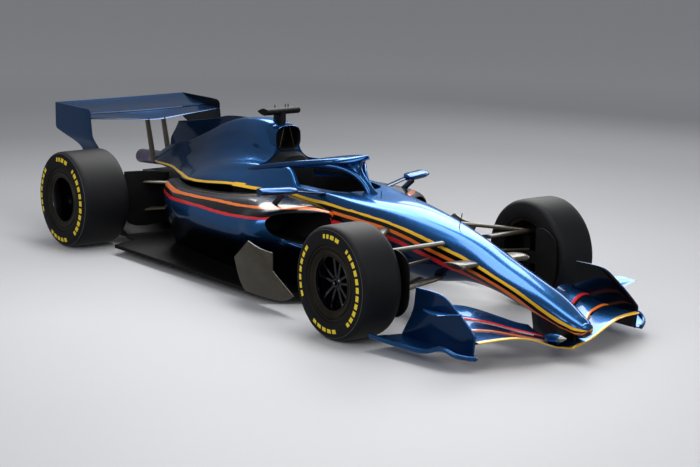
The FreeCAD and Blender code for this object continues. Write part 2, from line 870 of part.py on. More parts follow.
def front_wing_endplate():
    inner = across(wing_end_share)
    face = Part.Face(polygon([Vector(along(x), inner, up(z)) for x, z in front_plate_shares]))
    plate = face.extrude(Vector(0, plate_thickness, 0))
    tread_shares = [
        (0.824, 0.690, 0.070, 0.715, 0.072),
        (0.770, 0.690, 0.070, 0.810, 0.090),
        (0.703, 0.690, 0.070, 0.845, 0.118),
        (0.590, 0.690, 0.070, 0.868, 0.075),
        (0.430, 0.690, 0.070, 0.905, 0.078),
        (0.266, 0.690, 0.070, 0.947, 0.095),
    ]
    sections = []
    for x, y_in, z_in, y_out, z_out in tread_shares:
        low_in = place(x, y_in, z_in)
        low_out = place(x, y_out, z_out)
        lift = Vector(0, 0, plate_thickness * 0.8)
        sections.append([low_in, low_out, low_out + lift, low_in + lift])
    footplate = skinned(sections)
    dive = skinned([
        aerofoil(place(0.712, 0.690, 0.309), place(0.430, 0.690, 0.279), 0.05, 0.03),
        aerofoil(place(0.680, 0.850, 0.318), place(0.580, 0.850, 0.322), 0.05, 0.03),
    ])
    return fused([plate, footplate, dive])


def front_wing_pylons():
    outline = [(0.840, 0.260), (0.660, 0.330), (0.700, 0.085), (0.860, 0.068)]
    pylon = upright_plate(outline, 0.074, plate_thickness)
    pylon = pylon.cut(nose_cone()).cut(front_wing_main_plane())
    return group([pylon, mirrored(pylon)])


# Rear wing

rear_wing_end_share = 0.610

rear_main_shares = [
    (-0.610, -1.216, 0.930, -1.520, 0.915),
    (-0.300, -1.216, 0.905, -1.520, 0.893),
    (0.0, -1.216, 0.880, -1.520, 0.873),
    (0.300, -1.216, 0.905, -1.520, 0.893),
    (0.610, -1.216, 0.930, -1.520, 0.915),
]

rear_flap_shares = [
    (-0.610, -1.500, 0.940, -1.995, 0.995),
    (0.610, -1.500, 0.940, -1.995, 0.995),
]


def rear_wing_main_plane():
    return wing(rear_main_shares, 0.09, 0.05)


def rear_wing_flap():
    return wing(rear_flap_shares, 0.06, 0.05)


def rear_wing_endplate():
    # The plate narrows below the wing, so its foot passes inside the rear tyre.
    tyre_top = 2 * rear_tyre_radius
    inner_face = half_width - rear_tyre_width
    wing_end = across(rear_wing_end_share)
    rows = [
        (up(0.997), wing_end, -2.000, -1.245),
        (tyre_top + 80.0, wing_end, -1.995, -1.200),
        (tyre_top + 30.0, wing_end - tyre_gap, -1.780, -1.170),
        (tyre_top - 50.0, inner_face - plate_thickness - tyre_gap, -1.560, -1.170),
        (tyre_top - 270.0, inner_face - plate_thickness - 2 * tyre_gap, -1.420, -1.190),
    ]
    sections = []
    wide = Vector(0, plate_thickness, 0)
    for z, y, rear, front in rows:
        inner_rear = Vector(along(rear), y, z)
        inner_front = Vector(along(front), y, z)
        sections.append([inner_rear, inner_front, inner_front + wide, inner_rear + wide])
    return skinned(sections)


def rear_wing_pylons():
    foot = place(-1.150, 0.076, 0.500)
    head = place(-1.262, 0.076, 0.888)
    pylon = strut(foot, head, wing_pylon_chord, wing_pylon_thickness)
    pylon = largest(pylon.cut(rear_wing_main_plane()).cut(gearbox_block()).cut(cover_shell()))
    return group([pylon, mirrored(pylon)])


# Engine, gearbox and tail

def engine_block():
    low = Vector(along(-0.760), across(-0.200), ground_clearance + floor_thickness)
    high = Vector(along(cell_end_share), across(0.200), up(0.500))
    return box(low, high)


def gearbox_block():
    low = Vector(along(-1.200), -gearbox_half_width, up(0.240))
    high = Vector(along(-0.760), gearbox_half_width, up(0.500))
    shaft_axis = Vector(rear_axle_x, -half_width, rear_tyre_radius)
    return box(low, high).cut(Part.makeCylinder(shaft_radius * 2, overrun / 4, shaft_axis, Vector(0, 1, 0)))


def crash_structure():
    sections = []
    for share, half, low, high in ((-1.200, 0.11, 0.300, 0.420), (-1.720, 0.05, 0.330, 0.400)):
        sections.append(section(share, [(-half, low), (half, low), (half, high), (-half, high)]))
    return skinned(sections)


def rain_light():
    low = place(-1.745, -0.045, 0.335)
    high = place(-1.720, 0.045, 0.395)
    return box(low, high)


def exhaust():
    ends = [place(-1.085, 0, 0.590), place(-1.560, 0, 0.565)]
    skins = []
    turns = [2 * math.pi * index / exhaust_facets for index in range(exhaust_facets)]
    for radius in (exhaust_radius, exhaust_radius - exhaust_wall):
        around = [Vector(0, math.cos(turn), math.sin(turn)) * radius for turn in turns]
        skins.append(skinned([[centre + reach for reach in around] for centre in ends]))
    return skins[0].cut(skins[1]).cut(cover_shell())


# Suspension and wheels

upper_roots_shares = [(0.117, 0.190, 0.550), (-0.110, 0.235, 0.560)]
lower_roots_shares = [(0.080, 0.160, 0.320), (-0.110, 0.235, 0.330)]
track_rod_root_share = (0.040, 0.150, 0.440)


def front_suspension():
    pin_y = half_width - kingpin_inset
    reach = eye_height + 2 * overrun
    pieces = []
    for side, roots in ((1, upper_roots_shares), (-1, lower_roots_shares)):
        joint = Vector(front_axle_x, pin_y, front_tyre_radius + side * eye_offset)
        base = joint - Vector(0, 0, eye_height / 2)
        eye = Part.makeCylinder(eye_radius, eye_height, base)
        bore = Part.makeCylinder(kingpin_radius + running_clearance, reach, base - Vector(0, 0, overrun))
        legs = [strut(place(*root), joint, arm_chord, arm_thickness) for root in roots]
        pieces.append(fused([eye] + legs).cut(bore))
    outer_rod = Vector(
        front_axle_x + spine_width * 1.4,
        pin_y - 2.4 * overrun,
        front_tyre_radius + eye_offset / 3,
    )
    pieces.append(rod(place(*track_rod_root_share), outer_rod, rod_radius))
    cell = survival_cell()
    nose = nose_cone()
    return group([piece.cut(cell).cut(nose) for piece in pieces])


def front_upright():
    centre = Vector(front_axle_x, 0, front_tyre_radius)
    pin_y = half_width - kingpin_inset
    outer_y = half_width - rim_inset - front_disc_depth - rim_disc_thickness - hub_length
    back_y = outer_y - drum_wall
    inner_y = outer_y - drum_depth
    lip = drum_radius - drum_wall
    shroud = turned([
        (hub_bore_radius / 2, outer_y),
        (drum_radius, outer_y),
        (drum_radius, inner_y + drum_wall),
        (fence_radius, inner_y + drum_wall),
        (fence_radius, inner_y),
        (lip, inner_y),
        (lip, back_y),
        (hub_bore_radius / 2, back_y),
    ], centre.x, centre.z, drum_facets)
    window = box(
        Vector(centre.x - leg_window / 2, inner_y - overrun, centre.z - 2 * fence_radius),
        Vector(centre.x + leg_window / 2, inner_y + leg_window_depth, centre.z + 2 * fence_radius),
    )
    half_spine = eye_offset - eye_height / 2 - leg_gap
    spine = box(
        Vector(centre.x - spine_width / 2, pin_y - spine_width / 2, centre.z - half_spine),
        Vector(centre.x + spine_width / 2, back_y, centre.z + half_spine),
    )
    pin_reach = eye_offset + eye_height / 2 + kingpin_overhang
    pin = Part.makeCylinder(kingpin_radius, 2 * pin_reach, Vector(centre.x, pin_y, centre.z - pin_reach))
    spindle = rod(
        Vector(centre.x, back_y, centre.z),
        Vector(centre.x, half_width - rim_inset - front_disc_depth, centre.z),
        hub_bore_radius - running_clearance,
    )
    return fused([shroud.cut(window), spine, pin, spindle])


def rear_upright():
    centre = Vector(rear_axle_x, 0, rear_tyre_radius)
    outer_y = half_width - rim_inset - rear_disc_depth - rim_disc_thickness - hub_length
    inner_y = half_width - rear_tyre_width
    drum = turned([
        (shaft_radius * 1.5, inner_y),
        (drum_radius, inner_y),
        (drum_radius, outer_y),
        (shaft_radius * 1.5, outer_y),
    ], centre.x, centre.z, drum_facets)
    base = Vector(centre.x, inner_y, centre.z)
    sleeve = Part.makeCylinder(shaft_radius * 2, outer_y - inner_y, base, Vector(0, 1, 0))
    bore = Part.makeCylinder(shaft_radius + running_clearance, outer_y - inner_y, base, Vector(0, 1, 0))
    return fused([drum, sleeve]).cut(bore)


rear_leg_rows = [
    ((-0.880, 0.130, 0.470), 1, 1, rear_arm_chord),
    ((-1.130, 0.130, 0.470), -1, 1, arm_chord),
    ((-0.880, 0.130, 0.290), 1, -1, arm_chord),
    ((-1.130, 0.130, 0.290), -1, -1, arm_chord),
]


def rear_suspension():
    joint_y = half_width - rear_tyre_width
    legs = []
    for root, forward, upward, chord in rear_leg_rows:
        joint = Vector(
            rear_axle_x + forward * overrun,
            joint_y,
            rear_tyre_radius + upward * 0.8 * eye_offset,
        )
        legs.append(strut(place(*root), joint, chord, arm_thickness))
    return group([leg.cut(rear_upright()).cut(gearbox_block()) for leg in legs])


def driveshaft():
    centre = Vector(rear_axle_x, gearbox_half_width + face_clearance, rear_tyre_radius)
    end_y = half_width - rim_inset - rear_disc_depth - rim_disc_thickness
    return rod(centre, Vector(centre.x, end_y, centre.z), shaft_radius)


def turned(profile, centre_x, centre_z, facets=wheel_facets):
    # A ring with flat facets, one of them level at the bottom; profile holds (radius, distance across the car).
    half_turn = math.pi / facets

    def corner(radius, y, facet):
        turn = (2 * facet + 1) * half_turn
        reach = radius / math.cos(half_turn)
        return Vector(centre_x + reach * math.sin(turn), y, centre_z - reach * math.cos(turn))

    faces = []
    for start, end in zip(profile, profile[1:] + profile[:1]):
        for facet in range(facets):
            near = [corner(*start, facet), corner(*end, facet)]
            far = [corner(*end, facet + 1), corner(*start, facet + 1)]
            faces.append(Part.Face(polygon(near + far)))
    return closed_solid(faces)


def tyre(centre_x, radius, width):
    outer = half_width
    inner = half_width - width
    bead = rim_radius + bead_gap
    shoulder = (radius - bead) * 0.16
    profile = [
        (bead, inner + rim_inset),
        (bead + shoulder, inner),
        (radius - 1.9 * shoulder, inner + 0.3 * shoulder),
        (radius - 0.45 * shoulder, inner + 1.2 * shoulder),
        (radius, inner + 2.6 * shoulder),
        (radius, outer - 2.6 * shoulder),
        (radius - 0.45 * shoulder, outer - 1.2 * shoulder),
        (radius - 1.9 * shoulder, outer - 0.3 * shoulder),
        (bead + shoulder, outer),
        (bead, outer - rim_inset),
    ]
    return turned(profile, centre_x, radius)


def rim(centre_x, centre_z, width, disc_depth, open_spokes):
    face_y = half_width - rim_inset
    back_y = half_width - width + rim_inset
    disc_y = face_y - disc_depth
    inner = rim_radius - rim_barrel_wall
    profile = [
        (rim_radius, face_y),
        (rim_opening_radius, face_y - rim_barrel_wall / 2),
        (rim_opening_radius, disc_y),
        (inner, disc_y - rim_disc_thickness),
        (inner, back_y),
        (rim_radius, back_y),
    ]
    barrel = turned(profile, centre_x, centre_z)
    axle = Vector(0, 1, 0)
    hub_base = Vector(centre_x, disc_y - rim_disc_thickness - hub_length + face_clearance, centre_z)
    hub = Part.makeCylinder(hub_radius, hub_length + rim_disc_thickness - face_clearance, hub_base, axle)
    nut = Part.makeCylinder(nut_radius, nut_length, Vector(centre_x, disc_y, centre_z), axle)
    pieces = [barrel, hub, nut]
    reach = rim_opening_radius + rim_barrel_wall / 4
    if open_spokes:
        for pair in range(spoke_pairs):
            for lean in (-1, 1):
                turn = 2 * math.pi * pair / spoke_pairs
                tip_turn = turn + lean * math.radians(spoke_spread_deg)
                root = Vector(math.sin(turn), 0, math.cos(turn)) * (hub_radius * 0.8)
                tip = Vector(math.sin(tip_turn), 0, math.cos(tip_turn)) * reach
                side = (tip - root).cross(axle)
                side.normalize()
                side = side * (spoke_width / 2)
                base = Vector(centre_x, disc_y - rim_disc_thickness, centre_z)
                corners = [base + root - side, base + tip - side, base + tip + side, base + root + side]
                pieces.append(Part.Face(polygon(corners)).extrude(axle * rim_disc_thickness))
    else:
        disc_back = disc_y - rim_disc_thickness
        inner_reach = hub_radius * 0.8
        disc = [(inner_reach, disc_back), (reach, disc_back), (reach, disc_y), (inner_reach, disc_y)]
        pieces.append(turned(disc, centre_x, centre_z))
    wheel = fused(pieces)
    if open_spokes:
        bore_depth = hub_length + rim_disc_thickness
        bore_base = Vector(centre_x, disc_y - bore_depth, centre_z)
        wheel = wheel.cut(Part.makeCylinder(hub_bore_radius, bore_depth + face_clearance, bore_base, axle))
    else:
        bore_base = Vector(centre_x, disc_y - rim_disc_thickness - hub_length, centre_z)
        wheel = wheel.cut(Part.makeCylinder(shaft_radius, hub_length, bore_base, axle))
    return wheel


def front_tyre():
    return tyre(front_axle_x, front_tyre_radius, front_tyre_width)


def rear_tyre():
    return tyre(rear_axle_x, rear_tyre_radius, rear_tyre_width)


def front_rim():
    return rim(front_axle_x, front_tyre_radius, front_tyre_width, front_disc_depth, True)


def rear_rim():
    return rim(rear_axle_x, rear_tyre_radius, rear_tyre_width, rear_disc_depth, False)


centre_pieces = {
    "nose_cone": nose_cone,
    "survival_cell": survival_cell,
    "cockpit_surround": cockpit_surround,
    "seat": seat,
    "steering_wheel": steering_wheel,
    "steering_column": steering_column,
    "halo": halo,
    "headrest": headrest,
    "air_intake": air_intake,
    "engine_cover": engine_cover,
    "camera_housing": camera_housing,
    "floor_panel": floor_panel,
    "plank": plank,
    "diffuser": diffuser,
    "nose_stubs": nose_stubs,
    "front_wing_main_plane": front_wing_main_plane,
    "front_wing_pylons": front_wing_pylons,
    "rear_wing_main_plane": rear_wing_main_plane,
    "rear_wing_flap": rear_wing_flap,
    "rear_wing_pylons": rear_wing_pylons,
    "engine_block": engine_block,
    "gearbox_block": gearbox_block,
    "crash_structure": crash_structure,
    "rain_light": rain_light,
    "exhaust": exhaust,
}

side_pieces = {
    "sidepod": sidepod,
    "wake_board": wake_board,
    "wing_mirror": mirror,
    "front_wing_flaps": front_wing_flaps,
    "front_wing_endplate": front_wing_endplate,
    "rear_wing_endplate": rear_wing_endplate,
    "front_suspension": front_suspension,
    "rear_suspension": rear_suspension,
    "front_upright": front_upright,
    "rear_upright": rear_upright,
    "driveshaft": driveshaft,
    "front_tyre": front_tyre,
    "rear_tyre": rear_tyre,
    "front_rim": front_rim,
    "rear_rim": rear_rim,
}

os.makedirs("parts", exist_ok=True)
for name, build in centre_pieces.items():
    build().exportStep("parts/" + name + ".step")
for name, build in side_pieces.items():
    left = build()
    left.exportStep("parts/" + name + "_left.step")
    mirrored(left).exportStep("parts/" + name + "_right.step")
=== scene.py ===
import math

import bmesh
import bpy
import numpy as np
from mathutils import Matrix, Vector


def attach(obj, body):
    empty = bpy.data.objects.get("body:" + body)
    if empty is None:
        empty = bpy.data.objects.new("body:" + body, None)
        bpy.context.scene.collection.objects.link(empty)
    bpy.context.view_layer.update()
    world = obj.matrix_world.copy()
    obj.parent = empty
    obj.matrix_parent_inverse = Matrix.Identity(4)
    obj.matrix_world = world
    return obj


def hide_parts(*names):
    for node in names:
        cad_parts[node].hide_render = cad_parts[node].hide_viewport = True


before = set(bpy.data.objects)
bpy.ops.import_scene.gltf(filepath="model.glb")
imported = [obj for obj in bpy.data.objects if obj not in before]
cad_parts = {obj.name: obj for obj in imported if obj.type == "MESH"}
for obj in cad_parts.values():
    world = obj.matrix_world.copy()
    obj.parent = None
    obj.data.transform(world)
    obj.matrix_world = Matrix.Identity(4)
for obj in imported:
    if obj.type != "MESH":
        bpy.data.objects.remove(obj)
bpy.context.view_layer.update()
scene = bpy.context.scene
scene.view_settings.view_transform = "Standard"

# every length is in metres; forward distances in the tables start at the front axle
frontAxleX = 1.4275
rearAxleX = -1.9725
sides = {"left": 1, "right": -1}
print("stage: frame loaded")


def hexColour(code):
    channels = [int(code[i:i + 2], 16) / 255 for i in (0, 2, 4)]
    linear = [c / 12.92 if c <= 0.04045 else ((c + 0.055) / 1.055) ** 2.4 for c in channels]
    return linear + [1.0]


def addNode(tree, kind, settings=None, links=None):
    # settings name either a property of the node or one of its sockets; stops fill a colour ramp
    node = tree.nodes.new(kind)
    for key, value in (settings or {}).items():
        if key == "stops":
            elements = node.color_ramp.elements
            while len(elements) < len(value):
                elements.new(0.5)
            for element, (position, colour) in zip(elements, value):
                element.position = position
                element.color = colour
        elif key == "interpolation":
            node.color_ramp.interpolation = value
        elif isinstance(key, str) and hasattr(node, key):
            setattr(node, key, value)
        else:
            node.inputs[key].default_value = value
    for key, source in (links or {}).items():
        tree.links.new(source, node.inputs[key])
    return node


def startMaterial(name, settings):
    material = bpy.data.materials.new(name)
    material.use_nodes = True
    tree = material.node_tree
    tree.nodes.clear()
    shader = addNode(tree, "ShaderNodeBsdfPrincipled", settings)
    addNode(tree, "ShaderNodeOutputMaterial", None, {0: shader.outputs[0]})
    return material, tree, shader


def throughPoints(points, steps, params=None):
    # a smooth line through every point, each slope set by the two neighbours
    points = np.asarray(points, float)
    shape = points.shape
    flat = points.reshape(shape[0], -1)
    if params is None:
        gaps = np.sqrt(np.linalg.norm(np.diff(flat, axis=0), axis=1))
        params = np.concatenate([[0.0], np.cumsum(np.maximum(gaps, 1e-5))])
    gap = np.diff(np.asarray(params, float))[:, None]
    rate = np.diff(flat, axis=0) / gap
    slope = np.empty_like(flat)
    if len(flat) == 2:
        slope[:] = rate[0]
    else:
        slope[1:-1] = (rate[:-1] * gap[1:] + rate[1:] * gap[:-1]) / (gap[:-1] + gap[1:])
        slope[0] = 1.5 * rate[0] - 0.5 * slope[1]
        slope[-1] = 1.5 * rate[-1] - 0.5 * slope[-2]
    line = []
    for index in range(len(flat) - 1):
        for step in range(steps):
            t = step / steps
            a, b = flat[index], flat[index + 1]
            ma, mb = slope[index] * gap[index], slope[index + 1] * gap[index]
            line.append((2 * t**3 - 3 * t**2 + 1) * a + (t**3 - 2 * t**2 + t) * ma
                        + (3 * t**2 - 2 * t**3) * b + (t**3 - t**2) * mb)
    line.append(flat[-1])
    return np.array(line).reshape((-1,) + shape[1:])


def roundLoop(points, steps, sharp=()):
    # a closed smooth line; it keeps a corner at each index in sharp
    points = np.asarray(points, float)
    count = len(points)
    if not len(sharp):
        ring = np.vstack([points[-1:], points, points[:2]])
        return throughPoints(ring, steps)[steps:-steps - 1]
    pieces = []
    corners = sorted(sharp)
    for start, end in zip(corners, corners[1:] + [corners[0] + count]):
        run = [points[index % count] for index in range(start, end + 1)]
        pieces.append(throughPoints(run, steps)[:-1])
    return np.roll(np.vstack(pieces), corners[0] * steps, axis=0)


def skinGrid(rows, along, around, sharp=(), params=None):
    # rows of equally many points become a dense grid, smooth both ways
    dense = throughPoints(rows, along, params) if along > 1 else np.asarray(rows, float)
    if around == 1:
        return dense
    return np.array([roundLoop(row, around, sharp) for row in dense])


def at(x, y, z):
    return (x + frontAxleX, y, z)


def atStations(table):
    # a table of forward station to (across, up) pairs becomes rows of points in the frame
    return [[(x + frontAxleX, y, z) for y, z in loop] for x, loop in table]


def mirroredLoop(half):
    # the half runs from the top of the centre line down the left side to its bottom
    return list(half) + [(-y, z) for y, z in reversed(half) if y > 1e-6]


def meshPiece(name, verts, faces, bands=None):
    mesh = bpy.data.meshes.new(name)
    mesh.from_pydata([tuple(v) for v in verts], [], faces)
    piece = bpy.data.objects.new(name, mesh)
    scene.collection.objects.link(piece)
    if bands is not None:
        layer = mesh.uv_layers.new(name="bands")
        for loop in mesh.loops:
            layer.data[loop.index].uv = bands[loop.vertex_index]
    return piece


def tidyNormals(piece):
    work = bmesh.new()
    work.from_mesh(piece.data)
    bmesh.ops.remove_doubles(work, verts=work.verts, dist=1e-6)
    bmesh.ops.recalc_face_normals(work, faces=work.faces)
    work.to_mesh(piece.data)
    work.free()
    return piece


def gridPiece(name, grid, caps=True, bands=None):
    # a tube of faces over closed rows of points, with flat ends where caps is set
    grid = np.asarray(grid, float)
    rows, columns = grid.shape[:2]
    faces = []
    for row in range(rows - 1):
        for column in range(columns):
            after = (column + 1) % columns
            faces.append((row * columns + column, row * columns + after,
                          (row + 1) * columns + after, (row + 1) * columns + column))
    if caps:
        faces.append(tuple(reversed(range(columns))))
        faces.append(tuple((rows - 1) * columns + column for column in range(columns)))
    flatBands = None if bands is None else np.asarray(bands).reshape(-1, 2)
    return tidyNormals(meshPiece(name, grid.reshape(-1, 3), faces, flatBands))


def otherSide(piece, name):
    # the same piece on the right-hand side of the car
    mesh = piece.data.copy()
    mesh.transform(Matrix.Diagonal((1, -1, 1, 1)))
    mesh.flip_normals()
    twin = bpy.data.objects.new(name, mesh)
    scene.collection.objects.link(twin)
    return twin


def paintBands(piece, rule, perFace=False):
    # rule gives the stripe level and the darkness at a point; perFace keeps a band's edge on the face's edge
    layer = piece.data.uv_layers.get("bands") or piece.data.uv_layers.new(name="bands")
    for face in piece.data.polygons:
        whole = rule(*face.center)
        for index in face.loop_indices:
            point = piece.data.vertices[piece.data.loops[index].vertex_index].co
            layer.data[index].uv = whole if perFace else rule(*point)
    return piece


def plainBlue(piece, darkness, chosen=lambda face: True):
    # no stripes on the chosen faces, and one step of the ramp of blues all over them
    layer = piece.data.uv_layers.get("bands") or piece.data.uv_layers.new(name="bands")
    for face in piece.data.polygons:
        if chosen(face):
            for index in face.loop_indices:
                layer.data[index].uv = (0.0, darkness)
    return piece


def slab(name, outline, thickness, bevel):
    # a plate from a flat outline; thickness is the step to its other face
    work = bmesh.new()
    front = [work.verts.new(point) for point in outline]
    back = [work.verts.new([a + b for a, b in zip(point, thickness)]) for point in outline]
    work.faces.new(front)
    work.faces.new(list(reversed(back)))
    for index in range(len(front)):
        after = (index + 1) % len(front)
        work.faces.new((front[index], back[index], back[after], front[after]))
    bmesh.ops.recalc_face_normals(work, faces=work.faces)
    rims = [edge for edge in work.edges if edge.calc_face_angle(0.0) > 0.9]
    bmesh.ops.bevel(work, geom=rims, offset=bevel, segments=2, profile=0.6, affect="EDGES")
    mesh = bpy.data.meshes.new(name)
    work.to_mesh(mesh)
    work.free()
    piece = bpy.data.objects.new(name, mesh)
    scene.collection.objects.link(piece)
    return piece


def soften(piece, degrees):
    # smooth shading with crisp edges where two faces meet at more than the given angle
    work = bmesh.new()
    work.from_mesh(piece.data)
    for face in work.faces:
        face.smooth = True
    limit = math.radians(degrees)
    for edge in work.edges:
        edge.smooth = len(edge.link_faces) == 2 and edge.calc_face_angle(0.0) < limit
    work.to_mesh(piece.data)
    work.free()
    return piece


def bakeModifiers(piece):
    graph = bpy.context.evaluated_depsgraph_get()
    mesh = bpy.data.meshes.new_from_object(piece.evaluated_get(graph))
    piece.modifiers.clear()
    piece.data = mesh
    return piece


def carve(piece, cutter):
    # takes the cutter's solid away; the new faces keep the cutter's material
    cut = piece.modifiers.new("carve", "BOOLEAN")
    cut.operation = "DIFFERENCE"
    cut.solver = "EXACT"
    cut.material_mode = "TRANSFER"
    cut.object = cutter
    bpy.context.view_layer.update()
    bakeModifiers(piece)
    bpy.data.objects.remove(cutter)
    return piece


def joined(name, parts):
    # one piece from several, each with its own materials
    work = bmesh.new()
    materials = []
    for part in parts:
        start = len(work.faces)
        offset = []
        for slotMaterial in part.data.materials:
            if slotMaterial not in materials:
                materials.append(slotMaterial)
            offset.append(materials.index(slotMaterial))
        work.from_mesh(part.data)
        work.faces.ensure_lookup_table()
        for index in range(start, len(work.faces)):
            face = work.faces[index]
            face.material_index = offset[min(face.material_index, len(offset) - 1)] if offset else 0
    mesh = bpy.data.meshes.new(name)
    work.to_mesh(mesh)
    work.free()
    for slotMaterial in materials:
        mesh.materials.append(slotMaterial)
    piece = bpy.data.objects.new(name, mesh)
    scene.collection.objects.link(piece)
    for part in parts:
        bpy.data.objects.remove(part)
    return piece


def dress(piece, material):
    piece.data.materials.clear()
    for each in material if isinstance(material, (list, tuple)) else [material]:
        piece.data.materials.append(each)
    return piece


def settle(piece, body, slotName, *nodes):
    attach(piece, body)
    if nodes:
        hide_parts(*nodes)
    return piece


def settleBoth(left, body, slotName, *nodes):
    # a left-hand piece and its mirror image; a name that ends in _ takes the side on
    twin = otherSide(left, left.name.replace("Left", "Right"))
    for side, piece in (("left", left), ("right", twin)):
        full = [name + side if name.endswith("_") else name for name in (body, *nodes)]
        settle(piece, full[0], slotName, *full[1:])


def strutGrid(start, end, chord, thickness, endChord=None, points=8, steps=6):
    # a streamlined leg: the section is a slim drop with its chord along the car
    start, end = Vector(start), Vector(end)
    run = (end - start).normalized()
    wide = (Vector((1, 0, 0)) - run * run.x).normalized()
    thin = run.cross(wide)
    rows = []
    for step in range(steps + 1):
        share = step / steps
        size = chord + ((endChord or chord) - chord) * share
        centre = start.lerp(end, share)
        outer, inner = [], []
        for index in range(points):
            along = (1 - math.cos(math.pi * index / (points - 1))) / 2
            swell = 2.6 * math.sqrt(max(along, 0)) * (1 - along) + 0.06 * along
            middle = centre + wide * (size * (0.5 - along))
            outer.append(tuple(middle + thin * (thickness * swell / 2)))
            inner.append(tuple(middle - thin * (thickness * swell / 2)))
        rows.append(outer + list(reversed(inner[1:])))
    return rows


def strutPiece(name, start, end, chord, thickness, material, endChord=None):
    return dress(soften(gridPiece(name, strutGrid(start, end, chord, thickness, endChord)), 50), material)


def lathe(name, profile, centre, facets):
    # profile holds a closed loop of (radius, distance across the car); the axis runs across the car at centre
    profile = np.asarray(profile, float)
    columns = len(profile)
    verts = []
    for facet in range(facets):
        turn = 2 * math.pi * facet / facets
        for radius, y in profile:
            verts.append((centre[0] + radius * math.sin(turn), y, centre[2] + radius * math.cos(turn)))
    steps = np.linalg.norm(np.diff(profile, axis=0), axis=1)
    share = np.concatenate([[0.0], np.cumsum(steps)]) / np.sum(steps)
    faces = []
    places = []
    for facet in range(facets):
        onward = (facet + 1) % facets
        for column in range(columns):
            after = (column + 1) % columns
            faces.append((facet * columns + column, facet * columns + after,
                          onward * columns + after, onward * columns + column))
            near, far = share[column], share[after] if after else 1.0
            left, right = facet / facets, (facet + 1) / facets
            places += [(left, near), (left, far), (right, far), (right, near)]
    piece = meshPiece(name, verts, faces)
    layer = piece.data.uv_layers.new(name="around")
    for loop, place in zip(layer.data, places):
        loop.uv = place
    return tidyNormals(piece)


def sweep(name, line, widths, heights, around, up=(0, 0, 1)):
    # an oval section carried along a line of points in the frame
    line = np.asarray(line, float)
    grid = []
    for index, point in enumerate(line):
        ahead = line[min(index + 1, len(line) - 1)]
        behind = line[max(index - 1, 0)]
        run = Vector(ahead - behind).normalized()
        across = run.cross(Vector(up)).normalized()
        rise = across.cross(run)
        ring = []
        for step in range(around):
            turn = 2 * math.pi * step / around
            sideways = across * (math.cos(turn) * widths[index] / 2)
            upwards = rise * (math.sin(turn) * heights[index] / 2)
            ring.append(Vector(point) + (sideways + upwards))
        grid.append(ring)
    return gridPiece(name, np.array([[tuple(p) for p in ring] for ring in grid]))


# the photograph's viewpoint: angles in degrees, lens and sensor in millimetres
camera = {
    "place": (10.1563, -7.3671, 2.8456),
    "yaw": 142.9905,
    "pitch": -11.3481,
    "roll": 0.6307,
    "lens": 94.351,
    "sensor": 36.0,
}


def aimCamera():
    yaw, pitch, roll = (math.radians(camera[key]) for key in ("yaw", "pitch", "roll"))
    ahead = Vector((math.cos(pitch) * math.cos(yaw), math.cos(pitch) * math.sin(yaw), math.sin(pitch)))
    right = ahead.cross(Vector((0, 0, 1))).normalized()
    up = right.cross(ahead)
    turnedRight = right * math.cos(roll) + up * math.sin(roll)
    turnedUp = up * math.cos(roll) - right * math.sin(roll)
    lens = bpy.data.cameras.new("studioCamera")
    lens.lens = camera["lens"]
    lens.sensor_width = camera["sensor"]
    lens.sensor_fit = "HORIZONTAL"
    lens.clip_end = 200
    eye = bpy.data.objects.new("studioCamera", lens)
    axes = Matrix((turnedRight, turnedUp, -ahead)).transposed()
    eye.matrix_world = Matrix.Translation(camera["place"]) @ axes.to_4x4()
    scene.collection.objects.link(eye)
    scene.camera = eye


studio = {
    # share of the reach, then the concrete's tone, which darkens outwards as a painted falloff of light
    "floor": [(0.0, "e4e4e6"), (0.05, "d5d5d7"), (0.10, "cacacc"), (0.13, "c8c8ca"), (0.16, "c0c0c2"),
              (0.20, "b0b0b2"), (0.26, "adadaf"), (0.36, "bebec0"), (0.60, "bababc")],
    "poolCentre": (0.0, -2.0),
    "poolReach": 40.0,
    "halfSize": 60.0,
    "surround": ("8e9094", 1.4),
    "shown": "7b7b7b",
}


def studioFloor():
    # pale painted concrete; its colour holds a painted pool of light, bright near the car and falling off
    # into the dark of the studio
    reach = studio["halfSize"]
    verts = [(-reach, -reach, 0), (reach, -reach, 0), (reach, reach, 0), (-reach, reach, 0)]
    floor = meshPiece("studioFloor", verts, [(0, 1, 2, 3)])
    material, tree, shader = startMaterial("concretePaintedFalloff", {"Roughness": 0.55, "Specular IOR Level": 0.25})
    place = addNode(tree, "ShaderNodeTexCoord")
    offset = addNode(tree, "ShaderNodeVectorMath", {"operation": "DISTANCE", 1: (*studio["poolCentre"], 0.0)},
                     {0: place.outputs["Object"]})
    share = addNode(tree, "ShaderNodeMath", {"operation": "DIVIDE", 1: studio["poolReach"]},
                    {0: offset.outputs["Value"]})
    stops = [(position, hexColour(code)) for position, code in studio["floor"]]
    # the ramp paints the fall of light away from the car into the floor's colour
    fall = addNode(tree, "ShaderNodeValToRGB", {"stops": stops}, {0: share.outputs[0]})
    tree.links.new(fall.outputs[0], shader.inputs["Base Color"])
    floor.visible_glossy = False   # the paint mirrors the dark studio, not the pale floor
    dress(floor, material)


def softbox(name, place, target, width, height, power):
    lamp = bpy.data.lights.new(name, "AREA")
    lamp.shape = "RECTANGLE"
    lamp.size = width
    lamp.size_y = height
    lamp.energy = power
    stand = bpy.data.objects.new(name, lamp)
    aim = (Vector(target) - Vector(place)).to_track_quat("-Z", "Y")
    stand.matrix_world = Matrix.Translation(place) @ aim.to_matrix().to_4x4()
    scene.collection.objects.link(stand)
    return stand


